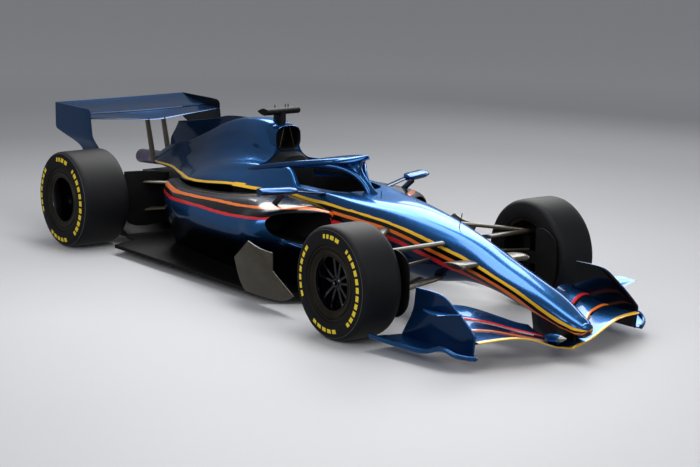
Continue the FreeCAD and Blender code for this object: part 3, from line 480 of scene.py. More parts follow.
# place, target, width, height and power of each lamp
softboxes = {
    "overheadBox": ((0.6, 0.2, 5.2), (0.6, 0.0, 0.0), 8.0, 1.6, 205),
    "farWallBox": ((-3.0, 7.5, 3.6), (0.0, 0.0, 0.6), 8.0, 1.4, 130),
    "nearFillBox": ((3.5, -8.0, 4.5), (0.0, 0.0, 0.4), 6.0, 3.0, 190),
    "noseBox": ((8.5, 1.5, 3.2), (1.0, 0.0, 0.3), 3.0, 2.0, 82),
}
# seen only in mirrored light, as a streak along the nose and the tub
reflectors = {
    "noseTopPanel": ((-2.6, 2.6, 4.4), (1.2, 0.0, 0.5), 5.0, 3.2, 340),
}


def lightStudio():
    world = bpy.data.worlds.new("studioWorld")
    scene.world = world
    world.use_nodes = True
    tree = world.node_tree
    tree.nodes.clear()
    tone, strength = studio["surround"]
    surround = addNode(tree, "ShaderNodeBackground", {"Color": hexColour(tone), "Strength": strength})
    shown = addNode(tree, "ShaderNodeBackground", {"Color": hexColour(studio["shown"]), "Strength": 1.0})
    path = addNode(tree, "ShaderNodeLightPath")
    seen = path.outputs["Is Camera Ray"]
    for ray in ("Is Glossy Ray", "Is Transmission Ray"):
        seen = addNode(tree, "ShaderNodeMath", {"operation": "MAXIMUM"},
                       {0: seen, 1: path.outputs[ray]}).outputs[0]
    mix = addNode(tree, "ShaderNodeMixShader", None, {0: seen, 1: surround.outputs[0], 2: shown.outputs[0]})
    addNode(tree, "ShaderNodeOutputWorld", None, {0: mix.outputs[0]})
    for name, values in softboxes.items():
        softbox(name, *values)
    for name, values in reflectors.items():
        softbox(name, *values).visible_diffuse = False


aimCamera()
studioFloor()
lightStudio()
print("stage: camera, floor and light set")


# metallic lacquer over carbon: deep blue that falls to navy and black, with a hard clear coat on top
lacquer = {
    # level where each band begins, its colour, and 1 where it covers the blue
    "stripes": [(0.0, "1f6fb0", 0), (0.10, "fcc430", 1), (0.20, "07080a", 1), (0.30, "f87c2c", 1),
                (0.40, "07080a", 1), (0.50, "d82832", 1), (0.60, "10203c", 0), (0.92, "f87c2c", 1)],
    # darkness, then the blue; on the wing planes and the endplate beads it also carries painted shade and a
    # painted highlight
    "body": [(0.0, "2e70b2"), (0.30, "205792"), (0.55, "133a68"), (0.78, "0c1c36"), (1.0, "050609")],
    "sheen": "bcd4f4",
    "shader": {"Roughness": 0.27, "Specular IOR Level": 0.3, "Coat Weight": 0.58, "Coat Roughness": 0.06,
               "Coat IOR": 1.5},
    "blueMetallic": 0.85,
    "stripeMetallic": 0.15,
    "flakeMm": 1.6,   # real flakes are 0.1 mm, drawn coarser so that they show
    "rippleMm": 111.1,   # slow waves of the laminate under the clear coat
}


def bodyLacquer():
    settings = {**lacquer["shader"], "Specular Tint": hexColour(lacquer["sheen"])}
    material, tree, shader = startMaterial("metallicLacquerSprayed", settings)
    place = addNode(tree, "ShaderNodeTexCoord")
    bands = addNode(tree, "ShaderNodeUVMap", {"uv_map": "bands"})
    split = addNode(tree, "ShaderNodeSeparateXYZ", None, {0: bands.outputs[0]})
    stripeStops = [(p, hexColour(code)[:3] + [float(alpha)]) for p, code, alpha in lacquer["stripes"]]
    stripes = addNode(tree, "ShaderNodeValToRGB", {"interpolation": "CONSTANT", "stops": stripeStops},
                      {0: split.outputs["X"]})
    bodyStops = [(p, hexColour(code)) for p, code in lacquer["body"]]
    body = addNode(tree, "ShaderNodeValToRGB", {"stops": bodyStops}, {0: split.outputs["Y"]})
    mix = addNode(tree, "ShaderNodeMix", {"data_type": "RGBA"},
                  {0: stripes.outputs["Alpha"], 6: body.outputs[0], 7: stripes.outputs[0]})
    # the blue is metallic, the stripes are all but flat colour
    drop = lacquer["stripeMetallic"] - lacquer["blueMetallic"]
    metal = addNode(tree, "ShaderNodeMath",
                    {"operation": "MULTIPLY_ADD", 1: drop, 2: lacquer["blueMetallic"]},
                    {0: stripes.outputs["Alpha"]})
    tree.links.new(metal.outputs[0], shader.inputs["Metallic"])
    flake = addNode(tree, "ShaderNodeTexVoronoi", {"Scale": 1000 / lacquer["flakeMm"]},
                    {"Vector": place.outputs["Object"]})
    glint = addNode(tree, "ShaderNodeMix", {"data_type": "RGBA", "blend_type": "SOFT_LIGHT", 0: 0.18},
                    {6: mix.outputs[2], 7: flake.outputs["Color"]})
    tree.links.new(glint.outputs[2], shader.inputs["Base Color"])
    ripple = addNode(tree, "ShaderNodeTexNoise", {"Scale": 1000 / lacquer["rippleMm"], "Detail": 2.0},
                     {"Vector": place.outputs["Object"]})
    relief = addNode(tree, "ShaderNodeBump", {"Strength": 0.04, "Distance": 0.002},
                     {"Height": ripple.outputs[0]})
    tree.links.new(relief.outputs[0], shader.inputs["Coat Normal"])
    return material


# size of the broad, faint clouds in each kind of finish
cloudMm = {"weave": 71.4, "mottle": 166.7, "rubber": 200.0}


def wovenCarbon(name, dark, light, towMm, settings, relief):
    # twill carbon: diagonal ribs of tows that catch the light by turns
    material, tree, shader = startMaterial(name, settings)
    place = addNode(tree, "ShaderNodeTexCoord")
    point = addNode(tree, "ShaderNodeSeparateXYZ", None, {0: place.outputs["Object"]})
    facing = addNode(tree, "ShaderNodeSeparateXYZ", None, {0: place.outputs["Normal"]})
    upward = addNode(tree, "ShaderNodeMath", {"operation": "ABSOLUTE"}, {0: facing.outputs["Z"]})
    level = addNode(tree, "ShaderNodeMath", {"operation": "GREATER_THAN", 1: 0.7}, {0: upward.outputs[0]})
    second = addNode(tree, "ShaderNodeMix", {"data_type": "FLOAT"},
                     {0: level.outputs[0], 2: point.outputs["Z"], 3: point.outputs["Y"]})
    cells = []
    for source in (point.outputs["X"], second.outputs[0]):
        tows = addNode(tree, "ShaderNodeMath", {"operation": "MULTIPLY", 1: 1000 / towMm}, {0: source})
        cells.append(addNode(tree, "ShaderNodeMath", {"operation": "FLOOR"}, {0: tows.outputs[0]}))
    both = addNode(tree, "ShaderNodeMath", {"operation": "ADD"},
                   {0: cells[0].outputs[0], 1: cells[1].outputs[0]})
    turn = addNode(tree, "ShaderNodeMath", {"operation": "FLOORED_MODULO", 1: 4.0}, {0: both.outputs[0]})
    over = addNode(tree, "ShaderNodeMath", {"operation": "LESS_THAN", 1: 2.0}, {0: turn.outputs[0]})
    cloud = addNode(tree, "ShaderNodeTexNoise", {"Scale": 1000 / cloudMm["weave"], "Detail": 3.0},
                    {"Vector": place.outputs["Object"]})
    tone = addNode(tree, "ShaderNodeMath", {"operation": "MULTIPLY"},
                   {0: over.outputs[0], 1: cloud.outputs[0]})
    colour = addNode(tree, "ShaderNodeMix", {"data_type": "RGBA", 6: hexColour(dark), 7: hexColour(light)},
                     {0: tone.outputs[0]})
    tree.links.new(colour.outputs[2], shader.inputs["Base Color"])
    rise = addNode(tree, "ShaderNodeBump", {"Strength": relief, "Distance": 0.0004},
                   {"Height": over.outputs[0]})
    tree.links.new(rise.outputs[0], shader.inputs["Normal"])
    return material


def mottled(name, dark, light, grainMm, settings, relief=0.15, depthMm=0.2, stretch=(1, 1, 1)):
    # a base colour broken up by a fine grain, for rubber, plastic, bare metal and plain paint
    material, tree, shader = startMaterial(name, settings)
    place = addNode(tree, "ShaderNodeTexCoord")
    pulled = addNode(tree, "ShaderNodeMapping", {"Scale": stretch}, {0: place.outputs["Object"]})
    grain = addNode(tree, "ShaderNodeTexNoise", {"Scale": 1000 / grainMm, "Detail": 4.0},
                    {"Vector": pulled.outputs[0]})
    broad = addNode(tree, "ShaderNodeTexNoise", {"Scale": 1000 / cloudMm["mottle"], "Detail": 3.0},
                    {"Vector": place.outputs["Object"]})
    blend = addNode(tree, "ShaderNodeMath", {"operation": "MULTIPLY"},
                    {0: grain.outputs[0], 1: broad.outputs[0]})
    stops = [(0.12, hexColour(dark)), (0.42, hexColour(light))]
    colour = addNode(tree, "ShaderNodeValToRGB", {"stops": stops}, {0: blend.outputs[0]})
    tree.links.new(colour.outputs[0], shader.inputs["Base Color"])
    rise = addNode(tree, "ShaderNodeBump", {"Strength": relief, "Distance": depthMm / 1000},
                   {"Height": grain.outputs[0]})
    tree.links.new(rise.outputs[0], shader.inputs["Normal"])
    return material


# smooth tread compound, moulded: near black, with a thin scuffed line and plain painted dashes on the wall
tyrePaint = {
    "rubber": ("0b0c0f", "16171b"),
    "dash": "e3c832",
    "line": "55565a",
    "grainMm": 2.0,
    # shares of the way across the profile: the painted ring's edges, the scuffed line and half its width
    "ring": (0.856, 0.905),
    "scuff": (0.800, 0.0022),
    # shares of a turn: one dash with its gap, and the gap
    "pitch": 0.028,
    "gap": 0.008,
    # painted arcs: turn share from the top where each begins and ends
    "arcs": [(0.0, 1), (0.055, 0), (0.10, 1), (0.385, 0), (0.45, 1), (0.585, 0), (0.67, 1), (0.87, 0),
             (0.968, 1)],
}


def slickRubber():
    material, tree, shader = startMaterial("tyreRubberMoulded",
                                           {"Roughness": 0.60, "Specular IOR Level": 0.24})
    place = addNode(tree, "ShaderNodeTexCoord")
    turn = addNode(tree, "ShaderNodeUVMap", {"uv_map": "around"})
    split = addNode(tree, "ShaderNodeSeparateXYZ", None, {0: turn.outputs[0]})
    broad = addNode(tree, "ShaderNodeTexNoise", {"Scale": 1000 / cloudMm["rubber"], "Detail": 4.0},
                    {"Vector": place.outputs["Object"]})
    dark, light = (hexColour(code) for code in tyrePaint["rubber"])
    compound = addNode(tree, "ShaderNodeMix", {"data_type": "RGBA", 6: dark, 7: light}, {0: broad.outputs[0]})
    # the painted ring lies on the outer wall
    ringLow, ringHigh = tyrePaint["ring"]
    low = addNode(tree, "ShaderNodeMath", {"operation": "GREATER_THAN", 1: ringLow}, {0: split.outputs["Y"]})
    high = addNode(tree, "ShaderNodeMath", {"operation": "LESS_THAN", 1: ringHigh}, {0: split.outputs["Y"]})
    ringShare = addNode(tree, "ShaderNodeMath", {"operation": "MULTIPLY"},
                        {0: low.outputs[0], 1: high.outputs[0]})
    arcStops = [(turnShare, (level, level, level, 1.0)) for turnShare, level in tyrePaint["arcs"]]
    arc = addNode(tree, "ShaderNodeValToRGB", {"interpolation": "CONSTANT", "stops": arcStops},
                  {0: split.outputs["X"]})
    cell = addNode(tree, "ShaderNodeMath", {"operation": "FLOORED_MODULO", 1: tyrePaint["pitch"]},
                   {0: split.outputs["X"]})
    block = addNode(tree, "ShaderNodeMath", {"operation": "GREATER_THAN", 1: tyrePaint["gap"]},
                    {0: cell.outputs[0]})
    dashes = addNode(tree, "ShaderNodeMath", {"operation": "MULTIPLY"},
                     {0: arc.outputs[0], 1: block.outputs[0]})
    painted = addNode(tree, "ShaderNodeMath", {"operation": "MULTIPLY"},
                      {0: dashes.outputs[0], 1: ringShare.outputs[0]})
    marked = addNode(tree, "ShaderNodeMix", {"data_type": "RGBA", 7: hexColour(tyrePaint["dash"])},
                     {0: painted.outputs[0], 6: compound.outputs[2]})
    scuffAt, scuffHalf = tyrePaint["scuff"]
    scuff = addNode(tree, "ShaderNodeMath", {"operation": "COMPARE", 1: scuffAt, 2: scuffHalf},
                    {0: split.outputs["Y"]})
    lined = addNode(tree, "ShaderNodeMix", {"data_type": "RGBA", 7: hexColour(tyrePaint["line"])},
                    {0: scuff.outputs[0], 6: marked.outputs[2]})
    tree.links.new(lined.outputs[2], shader.inputs["Base Color"])
    grain = addNode(tree, "ShaderNodeTexNoise", {"Scale": 1000 / tyrePaint["grainMm"], "Detail": 3.0},
                    {"Vector": place.outputs["Object"]})
    rise = addNode(tree, "ShaderNodeBump", {"Strength": 0.25, "Distance": 0.0003},
                   {"Height": grain.outputs[0]})
    tree.links.new(rise.outputs[0], shader.inputs["Normal"])
    return material


paint = bodyLacquer()
# gloss twill carbon, cured in a mould: black with faint diagonal ribs under resin
glossCarbon = wovenCarbon("twillCarbonGloss", "08090a", "1c1d1f", 5.0,
                          {"Roughness": 0.4, "Specular IOR Level": 0.3, "Coat Weight": 0.3,
                           "Coat Roughness": 0.12}, 0.25)
# satin twill carbon, cured and rubbed down: dull black for ducts, floor and insides
dullCarbon = wovenCarbon("twillCarbonSatin", "08080a", "131416", 5.0,
                         {"Roughness": 0.55, "Specular IOR Level": 0.2}, 0.35)
# wound carbon under a tinted satin coat: olive brown with long soft streaks
oliveCarbon = mottled("woundCarbonTinted", "342f24", "4d4638", 9.0,
                      {"Roughness": 0.36, "Metallic": 0.25, "Coat Weight": 0.35, "Coat Roughness": 0.2},
                      0.1, 0.1, (0.25, 1, 1))
rubber = slickRubber()
# forged magnesium under dark chrome: mirror dark spokes
darkChrome = mottled("forgedMagnesiumChromed", "4a4b50", "63646a", 3.0,
                     {"Metallic": 1.0, "Roughness": 0.16}, 0.05)
# anodised aluminium, turned: olive-brown satin rings
oliveAnodised = mottled("anodisedAluminiumTurned", "1f1c14", "38342a", 1.2,
                        {"Metallic": 0.7, "Roughness": 0.38}, 0.2, 0.1, (1, 8, 1))
# machined aluminium, milled: bright satin metal for bolts, tips and hubs
machined = mottled("aluminiumMilled", "9a9b9e", "c9cacc", 0.8, {"Metallic": 1.0, "Roughness": 0.28}, 0.15,
                   0.05)
# titanium tube, heat tinted: violet and straw bands
heatTitanium = mottled("titaniumTubeHeatTinted", "6d6384", "b0a3c4", 30.0,
                       {"Metallic": 1.0, "Roughness": 0.25}, 0.05)
# cast aluminium, sand blasted: grey engine and gearbox cases
castMetal = mottled("aluminiumCastBlasted", "4b4c4e", "6c6d70", 1.5, {"Metallic": 0.8, "Roughness": 0.5}, 0.3)
# moulded ABS: matt black for small housings
matBlack = mottled("absMoulded", "08080a", "141416", 1.0, {"Roughness": 0.55, "Specular IOR Level": 0.2},
                   0.2, 0.1)
# foam pad in woven aramid cloth: soft black with a fine weave
padCloth = wovenCarbon("aramidClothPad", "07080b", "14161b", 3.0,
                       {"Roughness": 0.75, "Specular IOR Level": 0.15, "Sheen Weight": 0.05,
                        "Sheen Roughness": 0.5}, 0.6)
# laminated beech skid plank, pressed: layered brown grain
beech = mottled("beechLaminatePressed", "4f3a22", "7d6140", 6.0, {"Roughness": 0.6}, 0.3, 0.2, (0.08, 1, 1))
print("stage: materials made")


# the nose and tub: stations run back from the tip, each a half outline from the top down to the bottom
body = {
    # forward distance, half width, top, bottom, squareness (smaller is squarer)
    "nose": [
        (1.280, 0.0050, 0.200, 0.194, 1.00),
        (1.277, 0.0205, 0.213, 0.182, 1.00),
        (1.248, 0.0550, 0.240, 0.163, 0.95),
        (1.1648, 0.0815, 0.278, 0.166, 0.88),
        (0.9984, 0.1110, 0.350, 0.201, 0.82),
    ],
    "bonnet": [
        (0.7936, [(0, .420), (.050, .414), (.090, .396), (.121, .373), (.132, .340), (.1243, .3007),
                  (.1015, .2738), (.0636, .2575), (0, .252)]),
        (0.6016, [(0, .478), (.052, .472), (.094, .452), (.133, .426), (.148, .392), (.1398, .3502),
                  (.1147, .3195), (.0728, .3012), (0, .295)]),
    ],
    "cell": [
        (0.2995, [(0, .577), (.052, .570), (.096, .548), (.138, .515), (.165, .455), (.157, .3869),
                  (.1295, .3451), (.083, .3203), (0, .312)]),
        (0.0, [(0, .645), (.085, .634), (.141, .602), (.186, .5566), (.204, .457), (.193, .3574),
               (.160, .304), (.104, .2725), (0, .262)]),
        (-.34, [(0, .697), (.114, .684), (.182, .650), (.224, .595), (.2375, .481), (.225, .367),
                (.188, .308), (.124, .2735), (0, .262)]),
        (-.72, [(0, .704), (.170, .702), (.240, .678), (.275, .612), (.286, .480), (.280, .360),
                (.255, .270), (.180, .212), (0, .200)]),
        (-.95, [(0, .710), (.220, .710), (.266, .700), (.300, .630), (.312, .500), (.307, .350),
                (.285, .230), (.210, .160), (0, .150)]),
        (-1.10, [(0, .712), (.255, .712), (.294, .702), (.320, .640), (.330, .500), (.328, .300),
                 (.310, .160), (.250, .108), (0, .100)]),
        (-1.30, [(0, .712), (.262, .712), (.304, .704), (.326, .650), (.332, .500), (.332, .300),
                 (.320, .130), (.260, .088), (0, .079)]),
        (-1.50, [(0, .692), (.268, .692), (.308, .682), (.328, .640), (.3325, .500), (.3325, .300),
                 (.320, .120), (.260, .082), (0, .079)]),
        (-1.85, [(0, .665), (.268, .665), (.308, .655), (.328, .620), (.3325, .500), (.3325, .300),
                 (.320, .120), (.260, .082), (0, .079)]),
    ],
    # where each stripe edge runs: forward distance, then places down the half outline
    # edges in turn: yellow and its lower edge, orange and its lower edge, red and its lower edge
    "stripes": [
        (1.280, 3.20, 4.10, 5.00, 5.60, 6.40, 6.40),
        (1.255, 3.42, 4.26, 5.05, 5.65, 6.40, 6.40),
        (1.220, 3.50, 4.33, 5.10, 5.75, 6.40, 6.40),
        (1.165, 3.60, 4.38, 5.15, 5.80, 6.40, 6.40),
        (1.107, 3.60, 4.38, 5.15, 5.80, 6.40, 6.40),
        (1.047, 3.62, 4.32, 5.10, 5.75, 6.40, 6.40),
        (0.920, 3.48, 4.02, 4.80, 5.65, 6.30, 6.30),
        (0.790, 3.28, 3.86, 4.43, 5.30, 6.10, 6.20),
        (0.657, 3.24, 3.72, 4.33, 4.94, 5.80, 6.00),
        (0.520, 3.30, 3.69, 4.29, 4.71, 5.45, 5.75),
        (0.378, 3.42, 3.72, 4.26, 4.58, 4.96, 5.34),
        (0.238, 3.38, 3.60, 3.99, 4.28, 4.54, 4.90),
        (0.106, 3.18, 3.37, 3.68, 3.91, 4.15, 4.40),
        (0.026, 3.04, 3.22, 3.55, 3.76, 3.97, 4.18),
        (-0.121, 2.91, 3.12, 3.37, 3.56, 3.78, 3.98),
        (-0.256, 2.86, 3.05, 3.29, 3.47, 3.67, 3.87),
        (-0.417, 2.78, 2.96, 3.22, 3.38, 3.61, 3.79),
        (-0.563, 2.71, 2.88, 3.16, 3.31, 3.58, 3.74),
        (-0.650, 2.65, 2.81, 3.13, 3.26, 3.57, 3.71),
        (-0.787, 2.70, 2.85, 3.13, 3.26, 3.56, 3.69),
        (-0.942, 2.72, 2.88, 3.15, 3.29, 3.61, 3.75),
        (-1.017, 2.74, 2.95, 3.18, 3.37, 3.69, 3.81),
        (-1.850, 2.74, 2.95, 3.18, 3.37, 3.69, 3.81),
    ],
    "cockpit": [(-.8908, .114), (-.935, .17575), (-1.088, .2204), (-1.36, .2375), (-1.581, .22325),
                (-1.6728, .152)],
    "along": 8,    # rows of faces between two stations
    "around": 12,  # faces between two points of an outline
    "floorHeight": 0.130,
    "cutTop": 1.0,
    # the upper wall is painted, from this height and forward of this place
    "trimHeight": 0.620,
    "trimFrom": -1.18,
    # the walls keep off the stripes inside these limits
    "wallHalfWidth": 0.245,
    "wallEnds": (-1.72, -0.88),
    "wallDarkness": 0.25,
}
# the stripe level at each edge in the tables of stripes; the bands of the lacquer lie between them
stripeLevels = [0.10, 0.20, 0.30, 0.40, 0.50, 0.60]


def noseHalf(halfWidth, top, bottom, squareness):
    middle, reach = (top + bottom) / 2, (top - bottom) / 2
    points = []
    for index in range(9):
        turn = math.pi * (0.5 - index / 8)
        y = abs(math.cos(turn)) ** squareness * halfWidth
        z = middle + math.copysign(abs(math.sin(turn)) ** squareness, math.sin(turn)) * reach
        points.append((0.0 if index in (0, 8) else y, z))
    return points


def stripeBands(grid, around, stripes, darkness, mirrored=True):
    # (level, darkness) for each point of a skin; edges are joined in straight lines between stations
    count = grid.shape[1] / around
    stations = [row[0] for row in stripes][::-1]
    edges = np.array([row[1:] for row in stripes][::-1])
    bands = np.zeros(grid.shape[:2] + (2,))
    for r, row in enumerate(grid):
        for c, (x, y, z) in enumerate(row):
            place = c / around
            if mirrored:
                place = min(place, count - place)
            marks = [np.interp(x - frontAxleX, stations, edges[:, k]) for k in range(edges.shape[1])]
            places = [min(marks[0], 0.0) - 1.0] + marks + [marks[-1] + 2.0]
            bands[r, c, 0] = np.interp(place, places, [0.0] + stripeLevels + [0.7])
            bands[r, c, 1] = darkness(x - frontAxleX, z, bands[r, c, 0])
    return bands


def bodyDarkness(x, z, level):
    # the blue is brightest on the upper faces, and under the red stripe it is all but black
    above = float(np.clip(0.10 + level * 2.5, 0.0, 0.35))
    return above if level < 0.25 else (0.97 if x < -0.8 else 0.66)


bodyTable = [(x, noseHalf(*row)) for x, *row in body["nose"]] + body["bonnet"] + body["cell"]
bodyRows = atStations([(x, mirroredLoop(half)) for x, half in bodyTable])
bodyGrid = skinGrid(bodyRows, body["along"], body["around"], params=[-x for x, _ in bodyTable])
bodyBands = stripeBands(bodyGrid, body["around"], body["stripes"], bodyDarkness)
# the nose ends at the first row of the cell
seamRow = (len(body["nose"]) + len(body["bonnet"])) * body["along"]
noseCone = dress(gridPiece("noseCone", bodyGrid[:seamRow + 1], bands=bodyBands[:seamRow + 1]), paint)
settle(soften(noseCone, 50), "chassis", "blue_paint", "nose_cone")
tub = dress(gridPiece("survivalCell", bodyGrid[seamRow:], bands=bodyBands[seamRow:]), paint)
cockpitLoop = roundLoop([(x + frontAxleX, y) for x, y in body["cockpit"]]
                        + [(x + frontAxleX, -y) for x, y in reversed(body["cockpit"])], 5)
cockpitHeights = (body["floorHeight"], body["trimHeight"], body["cutTop"])
cockpitRows = [[(x, y, z) for x, y in cockpitLoop] for z in cockpitHeights]
cockpitHollow = dress(gridPiece("cockpitHollow", cockpitRows), [dullCarbon, paint])
plainBlue(cockpitHollow, body["wallDarkness"])
for face in cockpitHollow.data.polygons:
    forward = face.center.x - frontAxleX > body["trimFrom"]
    face.material_index = int(forward and face.center.z > body["trimHeight"])
carve(tub, cockpitHollow)


def cockpitWall(face):
    inward = face.normal.y * face.center.y < 0 and abs(face.normal.z) < 0.3
    rear, front = body["wallEnds"]
    return inward and abs(face.center.y) < body["wallHalfWidth"] and rear < face.center.x - frontAxleX < front


plainBlue(tub, body["wallDarkness"], cockpitWall)
settle(soften(tub, 40), "chassis", "blue_paint", "survival_cell")
print("stage: nose and survival cell made")

# engine cover with its airbox, and the fin on its back
cover = {
    "stations": [
        (-1.785, [(0, 1.028), (.068, 1.018), (.096, .975), (.100, .900), (.124, .846), (.184, .802),
                  (.252, .784), (.312, .736), (.376, .686), (.424, .646), (.30, .585), (0, .575)]),
        (-1.85, [(0, 1.050), (.075, 1.040), (.112, .985), (.118, .900), (.128, .840), (.190, .800),
                 (.262, .782), (.320, .735), (.385, .685), (.430, .645), (.30, .585), (0, .575)]),
        (-2.2, [(0, 1.056), (.062, 1.044), (.100, .985), (.112, .905), (.138, .835), (.200, .778),
                (.275, .738), (.345, .690), (.405, .648), (.432, .612), (.30, .555), (0, .545)]),
        (-2.5, [(0, .998), (.045, .985), (.080, .925), (.105, .855), (.145, .785), (.205, .720), (.270, .672),
                (.335, .635), (.385, .607), (.400, .588), (.27, .54), (0, .53)]),
        (-2.8, [(0, .885), (.035, .872), (.065, .820), (.095, .765), (.130, .712), (.175, .668), (.220, .632),
                (.255, .607), (.275, .590), (.280, .572), (.19, .535), (0, .525)]),
        (-3.1, [(0, .775), (.028, .765), (.050, .735), (.072, .705), (.095, .675), (.118, .650), (.138, .627),
                (.152, .607), (.160, .590), (.162, .572), (.11, .545), (0, .540)]),
        (-3.4, [(0, .690), (.022, .684), (.040, .668), (.056, .650), (.070, .633), (.082, .617), (.092, .602),
                (.100, .588), (.104, .576), (.104, .566), (.07, .552), (0, .550)]),
        (-3.5, [(0, .640), (.018, .637), (.032, .628), (.044, .617), (.054, .606), (.062, .596), (.068, .587),
                (.071, .578), (.071, .570), (.070, .562), (.05, .553), (0, .550)]),
    ],
    "stripes": [
        (-1.850, 8.52, 8.80, 11.0, 11.0, 11.0, 11.0),
        (-2.230, 8.50, 8.82, 11.0, 11.0, 11.0, 11.0),
        (-2.340, 8.40, 8.84, 11.0, 11.0, 11.0, 11.0),
        (-2.500, 7.90, 8.50, 11.0, 11.0, 11.0, 11.0),
        (-2.770, 7.38, 8.10, 11.0, 11.0, 11.0, 11.0),
        (-3.070, 7.60, 8.40, 11.0, 11.0, 11.0, 11.0),
        (-3.250, 7.60, 8.40, 11.0, 11.0, 11.0, 11.0),
        (-3.500, 7.40, 8.30, 11.0, 11.0, 11.0, 11.0),
    ],
    "fin": [(-2.244, 1.046), (-2.553, 1.026), (-2.757, .981), (-3.24, .908), (-3.284, .849), (-3.352, .769),
            (-3.369, .690), (-2.652, .880)],
    "finThickness": 0.010,
    "finDarkness": 0.70,
    "endDarkness": 0.45,
    "along": 8,
    "around": 10,
    "creases": (9, 13),   # points of the outline where the lower edge turns sharply
}


def coverDarkness(x, z, level):
    # bright blue just behind the airbox, near black at the tail and under the stripe
    return float(np.clip((-1.75 - x) / 1.6, 0.15, 0.72)) if level < 0.15 else 0.97


coverRows = atStations([(x, mirroredLoop(half)) for x, half in cover["stations"]])
coverGrid = skinGrid(coverRows, cover["along"], cover["around"], cover["creases"],
                     params=[-x for x, _ in cover["stations"]])
coverBands = stripeBands(coverGrid, cover["around"], cover["stripes"], coverDarkness)
coverShell = dress(gridPiece("engineCover", coverGrid, bands=coverBands), paint)
plainBlue(coverShell, cover["endDarkness"], lambda face: face.loop_total > 4)   # the flat ends

# the intake lip is a rounded ring with a deep mouth
intake = {
    # forward distance, half width, top, bottom
    "outer": [(-1.778, .1074, 1.044, .864), (-1.836, .1159, 1.050, .856), (-1.946, .1216, 1.054, .850)],
    "skin": [(-1.782, .1050, 1.040, .868), (-1.778, .1060, 1.042, .866), (-1.790, .1080, 1.046, .862),
             (-1.836, .1150, 1.050, .857), (-1.946, .1200, 1.053, .852)],
    "mouth": [(-1.946, .070, 1.005, .905), (-1.924, .076, 1.010, .900), (-1.843, .095, 1.031, .880),
              (-1.800, .0945, 1.0315, .8785), (-1.781, .0975, 1.035, .874), (-1.778, .1010, 1.038, .870)],
    "squareness": 0.68,
    # roll hoop legs seen in the mouth: forward, across and up, then chord and thickness
    "hoop": [(-1.800, .024, 1.030), (-1.800, .064, .884)],
    "hoopSize": (.012, .005),
    "darkness": 0.35,
}


def intakeRows(table):
    return atStations([(x, mirroredLoop(noseHalf(width, top, bottom, intake["squareness"])))
                       for x, width, top, bottom in table])


intakeBlock = dress(gridPiece("intakeBlock", skinGrid(intakeRows(intake["outer"]), 1, 4)), dullCarbon)
carve(coverShell, intakeBlock)
soften(coverShell, 40)
finOutline = roundLoop([(x + frontAxleX, -cover["finThickness"] / 2, z) for x, z in cover["fin"]], 5,
                       (0, 3, 6, 7))
fin = dress(slab("coverFin", [tuple(p) for p in finOutline], (0, cover["finThickness"], 0), 0.003), paint)
plainBlue(fin, cover["finDarkness"])
soften(fin, 40)
settle(coverShell, "chassis", "blue_paint", "engine_cover")
settle(fin, "chassis", "blue_paint")
intakeSkin = dress(gridPiece("airIntake", skinGrid(intakeRows(intake["skin"]), 4, 4), caps=False), paint)
plainBlue(intakeSkin, intake["darkness"])
intakeMouth = dress(gridPiece("airIntakeMouth", skinGrid(intakeRows(intake["mouth"]), 4, 4), caps=False),
                    dullCarbon)
intakeEnd = dress(gridPiece("airIntakeEnd", skinGrid(intakeRows(intake["mouth"][:2]), 1, 4)), matBlack)
hoopLegs = []
for side in sides.values():
    top, foot = [at(x, y * side, z) for x, y, z in intake["hoop"]]
    hoopLegs.append(strutPiece("hoopLeg", top, foot, *intake["hoopSize"], oliveCarbon))
intakePiece = joined("airIntakeLip", [intakeSkin, intakeMouth, intakeEnd] + hoopLegs)
settle(soften(intakePiece, 40), "chassis", "blue_paint", "air_intake")
print("stage: engine cover and intake made")

